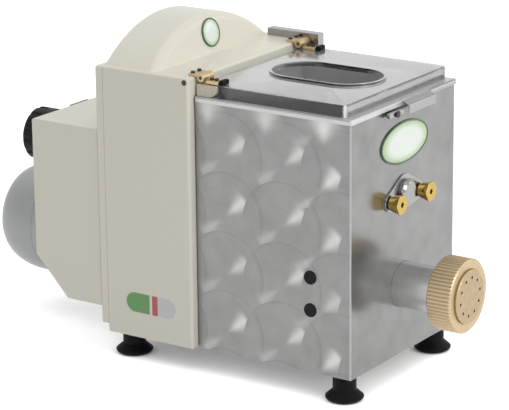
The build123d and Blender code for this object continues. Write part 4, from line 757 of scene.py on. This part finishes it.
def carried(node, material):
    """A solid that stays as it is, with its finish."""
    data = frame["nodes"][node].data
    data.materials.clear()
    data.materials.append(finish(material))


def stitch(work, rings):
    """Faces between each ring of points and the next."""
    steps = len(rings[0])
    for low, high in zip(rings, rings[1:]):
        for step in range(steps):
            after = (step + 1) % steps
            work.faces.new((low[step], low[after], high[after], high[step]))


def circle_steps(steps):
    return [2 * math.pi * step / steps for step in range(steps)]


def straight_tube(name, start, end, radius, steps=14, squash=1.0):
    """A closed tube between two points, with capped ends."""
    work = bmesh.new()
    direction = (end - start).normalized()
    side = direction.cross(Vector((0, 0, 1))).normalized()
    up = side.cross(direction)
    rings = [[
        work.verts.new(point + side * math.cos(a) * radius + up * math.sin(a) * radius * squash)
        for a in circle_steps(steps)
    ] for point in (start, end)]
    stitch(work, rings)
    work.faces.new(list(reversed(rings[0])))
    work.faces.new(rings[-1])
    bmesh.ops.recalc_face_normals(work, faces=work.faces)
    return finished_mesh(work, name)


def domed_badge(name, centre, half_width, half_height, thickness, lean=0.0):
    """A bare badge on a face towards the front that leans back: a raised rim and a domed field."""
    outward = Vector((0, -math.cos(lean), math.sin(lean)))
    upward = Vector((0, math.sin(lean), math.cos(lean)))
    smallest = min(half_width, half_height)
    border = smallest * 0.10
    # Loops of the rim and of the field: how far inside the outline, and how high in thicknesses.
    rim_loops = [(0.0, 0.0), (0.0, 0.6), (0.0004, 0.9), (0.0009, 1.0), (border - 0.0006, 1.0),
                 (border, 0.8), (border, 0.4)]
    field_loops = [(border - 0.0002, 0.3), (border + 0.0002, 0.72)]
    field_loops += [(border + smallest * inward, height) for inward, height in (
        (0.12, 0.80), (0.35, 0.90), (0.6, 0.95), (0.8, 0.97))]
    pieces = []
    for part, loops in (("rim", rim_loops), ("field", field_loops)):
        work = bmesh.new()
        rings = [[
            work.verts.new(centre + Vector((1, 0, 0)) * (half_width - inward) * math.cos(angle)
                           + upward * (half_height - inward) * math.sin(angle)
                           + outward * (thickness * height))
            for angle in circle_steps(72)
        ] for inward, height in loops]
        stitch(work, rings)
        if part == "field":
            work.faces.new(rings[-1])
        bmesh.ops.recalc_face_normals(work, faces=work.faces)
        mesh = finished_mesh(work, f"{name}_{part}")
        pieces.append(show(f"{name}_{part}", mesh, "machine", f"badge_{part}"))
    return pieces


# ------------------------------ operators


class PASTA_OT_steel_body(bpy.types.Operator):
    """Panels, tub, rim and bead of the steel body"""

    bl_idname = "pasta_maker.steel_body"
    bl_label = "Steel Body"

    def execute(self, context):
        for node in ("left_side_panel", "right_side_panel", "front_panel"):
            carried(node, "quilted_steel")
        carried("mixing_tub", "satin_tub")
        carried("base_plate", "plain_steel")
        carried("bulkhead", "plain_steel")
        softened("rim_tab", "polished_steel", 0.0006)
        self.roll_rim(context.scene.pasta_maker_sizes.bead_radius)
        self.fold_corners()
        return {"FINISHED"}

    def roll_rim(self, bead):
        """A bead along the front rim beside the tab, and a hem along each side of the tub."""
        tab_gap, inset, set_back, clearance = 0.0005, 0.0012, 0.003, 0.0001
        hem_radius, hem_drop, hem_inset, hem_start = 0.0013, 0.0011, 0.0008, 0.002
        low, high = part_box("mixing_tub")
        depth, height = low.y + bead + clearance - set_back, high.z - bead * 0.9
        tube = straight_tube(
            "rim_bead_right",
            Vector((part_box("rim_tab")[1].x + tab_gap, depth, height)),
            Vector((high.x - bead - inset, depth, height)),
            bead,
        )
        show("rim_bead_right", tube, "machine", "polished_steel")
        for side, x in (("left", low.x + hem_inset), ("right", high.x - hem_inset)):
            tube = straight_tube(
                f"rim_hem_{side}",
                Vector((x, low.y + hem_start, high.z - hem_drop)),
                Vector((x, high.y - hem_start, high.z - hem_drop)),
                hem_radius,
                12,
                0.8,
            )
            show(f"rim_hem_{side}", tube, "machine", "polished_steel")

    def fold_corners(self):
        """The round fold along each front corner of the body."""
        radius, depth, inset, lift, rise = 0.0014, 0.0011, 0.0009, 0.0002, 0.188
        bottom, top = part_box("front_panel")[0].z + lift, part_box("mixing_tub")[0].z + rise
        off_upright = 1e-7  # an upright tube has no level side to start from
        for side, sign in (("left", -1), ("right", 1)):
            x = sign * (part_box("front_panel")[1].x - inset)
            tube = straight_tube(
                f"corner_fold_{side}",
                Vector((x, FRONT + depth, bottom)),
                Vector((x, FRONT + depth + off_upright, top)),
                radius,
                12,
            )
            show(f"corner_fold_{side}", tube, "machine", "polished_steel")


class PASTA_OT_column(bpy.types.Operator):
    """Painted column with its arch, rear cover and motor hood"""

    bl_idname = "pasta_maker.column"
    bl_label = "Column and Hood"

    def execute(self, context):
        softened("front_cover", "cream_paint", 0.0012, 3)
        softened("rear_cover", "cream_paint", 0.0008)
        softened("motor_hood", "cream_paint", 0.0010)
        return {"FINISHED"}


class PASTA_OT_lid(bpy.types.Operator):
    """Clear lid with its window lip, cheeks and buffers"""

    bl_idname = "pasta_maker.lid"
    bl_label = "Clear Lid"

    def execute(self, context):
        edge_depth, corner_start = 0.0026, 0.09
        sheet_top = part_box("lid")[1].z - edge_depth
        # Painted highlight: the rounded top edges and the upright corner faces take the white
        # bright_edge finish for the light that the clear edges catch.
        lid = softened("lid", "clear_plastic", 0.0014, edge_material="bright_edge",
                       keep=lambda edge: all(vert.co.z > sheet_top for vert in edge.verts))
        for face in lid.data.polygons:
            across, along, upward = map(abs, face.normal)
            on_corner = upward < 0.5 and min(across, along) > 0.35
            if on_corner and abs(face.center.x) > corner_start:
                face.material_index = 1
        softened("hinge_cheeks", "pale_cheek", 0.0007)
        softened("lid_buffers", "black_rubber", 0.0009)
        return {"FINISHED"}


class PASTA_OT_hinges(bpy.types.Operator):
    """Brass hinges, pins, screws, the lid switch and its guard"""

    bl_idname = "pasta_maker.hinges"
    bl_label = "Hinges and Lid Switch"

    def execute(self, context):
        softened("lid_hinge_leaves", "brass_turned", 0.0005)
        softened("shelf_hinge_leaves", "brass_turned", 0.0005)
        softened("hinge_pins", "dark_steel", 0.0003)
        softened("lid_hinge_screws", "dark_steel", 0.0005)
        softened("shelf_hinge_screws", "dark_steel", 0.0005)
        softened("switch_guard", "polished_steel", 0.0004)
        carried("switch_cam", "dark_steel")
        carried("switch_plunger", "black_plastic")
        return {"FINISHED"}


class PASTA_OT_extruder(bpy.types.Operator):
    """Barrel, knurled ring nut, die and auger"""

    bl_idname = "pasta_maker.extruder"
    bl_label = "Extruder"

    def execute(self, context):
        softened("extrusion_barrel", "barrel_steel", 0.0004)
        softened("ring_nut", "knurled_brass", 0.0003, 1)
        softened("brass_die", "brass_face", 0.0007, 3, edge_material="brass_polished")
        carried("auger_screw", "machine_steel")
        carried("auger_housing", "cast_aluminium")
        return {"FINISHED"}


class PASTA_OT_mixer_clamp(bpy.types.Operator):
    """Mixing shaft with its flange, hub, studs and hand nuts"""

    bl_idname = "pasta_maker.mixer_clamp"
    bl_label = "Mixer Clamp"

    def execute(self, context):
        softened("mixer_flange", "polished_steel", 0.0007, 3)
        softened("mixer_hub", "chrome", 0.0009, 3)
        softened("flange_studs", "dark_steel", 0.0004)
        for side in ("left", "right"):
            softened(f"{side}_hand_nut", "brass_polished", 0.0006, 3)
        carried("mixing_shaft", "polished_steel")
        return {"FINISHED"}


class PASTA_OT_controls(bpy.types.Operator):
    """Selector knob, push button with its bezel, and cable gland"""

    bl_idname = "pasta_maker.controls"
    bl_label = "Controls"

    def execute(self, context):
        softened("selector_knob", "black_plastic", 0.0009, 3)
        bezel = softened("button_bezel", "black_plastic", 0.0006)
        top_band, raised = 0.004, 0.0025
        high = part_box("button_bezel")[1].z
        for vert in bezel.data.vertices:
            if vert.co.z > high - top_band:
                vert.co.z += raised
        softened("push_button", "black_plastic", 0.0006)
        softened("cable_gland", "black_plastic", 0.0005)
        return {"FINISHED"}


class PASTA_OT_motor(bpy.types.Operator):
    """Motor housing with its bells, rotor and fan"""

    bl_idname = "pasta_maker.motor"
    bl_label = "Motor"

    def execute(self, context):
        softened("motor_end_bell", "silver_paint", 0.0008)
        softened("motor_housing", "silver_paint", 0.0006)
        softened("motor_front_bell", "silver_paint", 0.0006)
        carried("start_capacitor", "silver_paint")
        for node in ("motor_stator", "motor_bearings", "motor_rotor", "motor_pinion"):
            carried(node, "machine_steel")
        carried("motor_fan", "black_plastic")
        return {"FINISHED"}


class PASTA_OT_gear_train(bpy.types.Operator):
    """Gearbox, gears, lay shaft and bushes"""

    bl_idname = "pasta_maker.gear_train"
    bl_label = "Gear Train"

    def execute(self, context):
        carried("gearbox_case", "cast_aluminium")
        carried("gearbox_cover", "cast_aluminium")
        for node in ("lay_shaft", "lay_wheel", "auger_wheel", "mixer_wheel"):
            carried(node, "machine_steel")
        carried("bronze_bushes", "bronze")
        carried("switch_bodies", "black_plastic")
        return {"FINISHED"}


class PASTA_OT_small_parts(bpy.types.Operator):
    """Feet, bolts, plugs, screws and the rim latch"""

    bl_idname = "pasta_maker.small_parts"
    bl_label = "Feet and Small Parts"

    def execute(self, context):
        softened("rubber_feet", "black_rubber", 0.0010)
        carried("foot_bolts", "zinc_screws")
        softened("side_plugs", "black_plastic", 0.0005)
        softened("case_screws", "dark_steel", 0.0003)
        softened("rim_latch", "polished_steel", 0.0012, 3, edge_material="chrome")
        return {"FINISHED"}


class PASTA_OT_badges(bpy.types.Operator):
    """Bare oval and round badges and the banded side label"""

    bl_idname = "pasta_maker.badges"
    bl_label = "Badges"

    def execute(self, context):
        low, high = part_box("enamel_badges")
        thickness = FRONT - low.y
        oval = domed_badge("oval_badge", Vector((0, FRONT, OVAL_BADGE_HEIGHT)),
                           *OVAL_BADGE_HALF_SIZES, thickness)
        radius = ROUND_BADGE_RADIUS
        centre = Vector((
            0,
            high.y - radius * math.sin(ARCH_LEAN),
            high.z - radius * math.cos(ARCH_LEAN) - thickness * math.sin(ARCH_LEAN),
        ))
        domed_badge("round_badge", centre, radius, radius, thickness, ARCH_LEAN)
        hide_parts("enamel_badges")
        softened("side_label", "banded_label", 0.0007, edge_material="bright_edge")
        return {"FINISHED"}


class PASTA_OT_stage(bpy.types.Operator):
    """Floor, lamps, world and camera"""

    bl_idname = "pasta_maker.stage"
    bl_label = "Stage"

    def execute(self, context):
        scene = context.scene
        scene.view_settings.view_transform = "Standard"
        self.lay_floor(scene)
        self.light(scene)
        self.set_camera(scene)
        return {"FINISHED"}

    def lay_floor(self, scene):
        """A pale floor that shows white, apart from the lamps' shadows and a painted contact shadow
        near the machine.
        """
        half, contact_reach, full_opening, glow_strength = 6.0, 0.08, 0.70, 0.74
        work = bmesh.new()
        corners = ((-half, -half), (half, -half), (half, half), (-half, half))
        work.faces.new([work.verts.new((x, y, 0)) for x, y in corners])
        mesh = bpy.data.meshes.new("floor")
        work.to_mesh(mesh)
        work.free()
        made, tree, shader, place = start_material("pale_floor")
        speckle = grained(tree, place, 14.0, 0.5)
        pale = mix_colour(tree, (-400, 0), speckle["Value"], (0.80, 0.80, 0.80, 1),
                          (0.84, 0.84, 0.84, 1))
        tree.links.new(pale, shader.inputs["Base Color"])
        set_values(shader, Roughness=0.9, Specular_IOR_Level=0.1)
        # Painted contact shadow: ambient occlusion dims the floor's white glow near the machine.
        shelter = add(tree, "ShaderNodeAmbientOcclusion", (-600, -500), p_samples=16,
                      Distance=contact_reach)
        opening = span(tree, (-400, -500), shelter.outputs["AO"], 0.0, full_opening)
        seen = calc(tree, (-250, -400), "MULTIPLY", seen_rays(tree), opening)
        glow = add(tree, "ShaderNodeEmission", (-100, -300), Strength=calc(
            tree, (-200, -300), "MULTIPLY", seen, glow_strength))
        both = add(tree, "ShaderNodeAddShader", (100, 0), i0=shader.outputs[0], i1=glow.outputs[0])
        tree.links.new(both.outputs[0], tree.nodes["Material Output"].inputs["Surface"])
        mesh.materials.append(made)
        floor = bpy.data.objects.new("floor", mesh)
        scene.collection.objects.link(floor)

    def light(self, scene):
        """Soft lamps in a grey studio, whose ground shows white."""
        world = bpy.data.worlds.new("studio")
        scene.world = world
        world.use_nodes = True
        tree = world.node_tree
        direction = add(tree, "ShaderNodeTexCoord", (-900, 0))
        split = add(tree, "ShaderNodeSeparateXYZ", (-700, 0), Vector=direction.outputs["Generated"])
        rise = calc(tree, (-550, 0), "MULTIPLY_ADD", split.outputs["Z"], 0.5, 0.5, clamp=True)
        sky = add(tree, "ShaderNodeValToRGB", (-400, 0), i0=rise)
        low, high = sky.color_ramp.elements
        low.position, low.color = 0.40, (0.30, 0.30, 0.31, 1)
        high.position, high.color = 0.95, (1.0, 1.0, 1.0, 1)
        studio = tree.nodes["Background"]
        tree.links.new(sky.outputs[0], studio.inputs["Color"])
        studio.inputs["Strength"].default_value = 0.55
        white = add(tree, "ShaderNodeBackground", (-100, -200), Color=(1, 1, 1, 1), Strength=1.0)
        mixed = add(tree, "ShaderNodeMixShader", (200, 0), i0=seen_rays(tree), i1=studio.outputs[0],
                    i2=white.outputs[0])
        tree.links.new(mixed.outputs[0], tree.nodes["World Output"].inputs["Surface"])
        aimed_at = Vector((0, 0, 0.18))
        for name, place, size, power in (
            ("front", (-0.3, -2.7, 1.4), 1.6, 28.0),
            ("top", (0.2, -0.2, 2.6), 2.0, 9.0),
            ("left", (-2.6, 0.2, 1.2), 1.6, 5.0),
            ("right", (2.2, -1.8, 1.2), 1.4, 8.0),
            ("back", (0.3, 1.7, 2.3), 1.6, 3.0),
        ):
            lamp = bpy.data.lights.new(name, "AREA")
            lamp.shape = "DISK"
            lamp.size = size
            lamp.energy = power
            holder = bpy.data.objects.new(name, lamp)
            holder.location = place
            holder.rotation_euler = (aimed_at - Vector(place)).to_track_quat("-Z", "Y").to_euler()
            scene.collection.objects.link(holder)

    def set_camera(self, scene):
        data = bpy.data.cameras.new("camera")
        data.lens = scene.pasta_maker_sizes.lens
        data.sensor_width = 36.0
        data.sensor_fit = "HORIZONTAL"
        data.clip_start = 0.05
        data.clip_end = 60.0
        camera = bpy.data.objects.new("camera", data)
        azimuth, elevation, roll = map(math.radians, (-55.827, 16.576, -0.602))
        place = Vector((-2.3590, FRONT - 1.3943, 1.0252))
        back = Vector((
            math.sin(azimuth) * math.cos(elevation),
            -math.cos(azimuth) * math.cos(elevation),
            math.sin(elevation),
        ))
        level = Vector((math.cos(azimuth), math.sin(azimuth), 0))
        upright = back.cross(level)
        right = level * math.cos(roll) + upright * math.sin(roll)
        up = upright * math.cos(roll) - level * math.sin(roll)
        turn = Matrix((right, up, back)).transposed().to_4x4()
        camera.matrix_world = Matrix.Translation(place) @ turn
        scene.collection.objects.link(camera)
        scene.camera = camera


class PASTA_PT_panel(bpy.types.Panel):
    """Lists the pieces, sizes and colours"""

    bl_idname = "PASTA_PT_panel"
    bl_label = "Pasta Maker"
    bl_space_type = "VIEW_3D"
    bl_region_type = "UI"
    bl_category = "Pasta Maker"

    def draw(self, context):
        layout = self.layout
        for group in (context.scene.pasta_maker_sizes, context.scene.pasta_maker_colours):
            box = layout.box()
            for key in group.__annotations__:
                box.prop(group, key)
        for operator in OPERATORS:
            layout.operator(operator.bl_idname)


OPERATORS = (
    PASTA_OT_steel_body,
    PASTA_OT_column,
    PASTA_OT_lid,
    PASTA_OT_hinges,
    PASTA_OT_extruder,
    PASTA_OT_mixer_clamp,
    PASTA_OT_controls,
    PASTA_OT_motor,
    PASTA_OT_gear_train,
    PASTA_OT_small_parts,
    PASTA_OT_badges,
    PASTA_OT_stage,
)
CLASSES = (PastaMakerSizes, PastaMakerColours, *OPERATORS, PASTA_PT_panel)


def register():
    for item in CLASSES:
        bpy.utils.register_class(item)
    bpy.types.Scene.pasta_maker_sizes = PointerProperty(type=PastaMakerSizes)
    bpy.types.Scene.pasta_maker_colours = PointerProperty(type=PastaMakerColours)


def unregister():
    del bpy.types.Scene.pasta_maker_colours
    del bpy.types.Scene.pasta_maker_sizes
    for item in reversed(CLASSES):
        bpy.utils.unregister_class(item)


def main():
    register()
    bpy.ops.pasta_maker.steel_body()
    bpy.ops.pasta_maker.column()
    bpy.ops.pasta_maker.lid()
    bpy.ops.pasta_maker.hinges()
    bpy.ops.pasta_maker.extruder()
    bpy.ops.pasta_maker.mixer_clamp()
    bpy.ops.pasta_maker.controls()
    bpy.ops.pasta_maker.motor()
    bpy.ops.pasta_maker.gear_train()
    bpy.ops.pasta_maker.small_parts()
    bpy.ops.pasta_maker.badges()
    bpy.ops.pasta_maker.stage()
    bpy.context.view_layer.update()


if __name__ == "__main__":
    main()
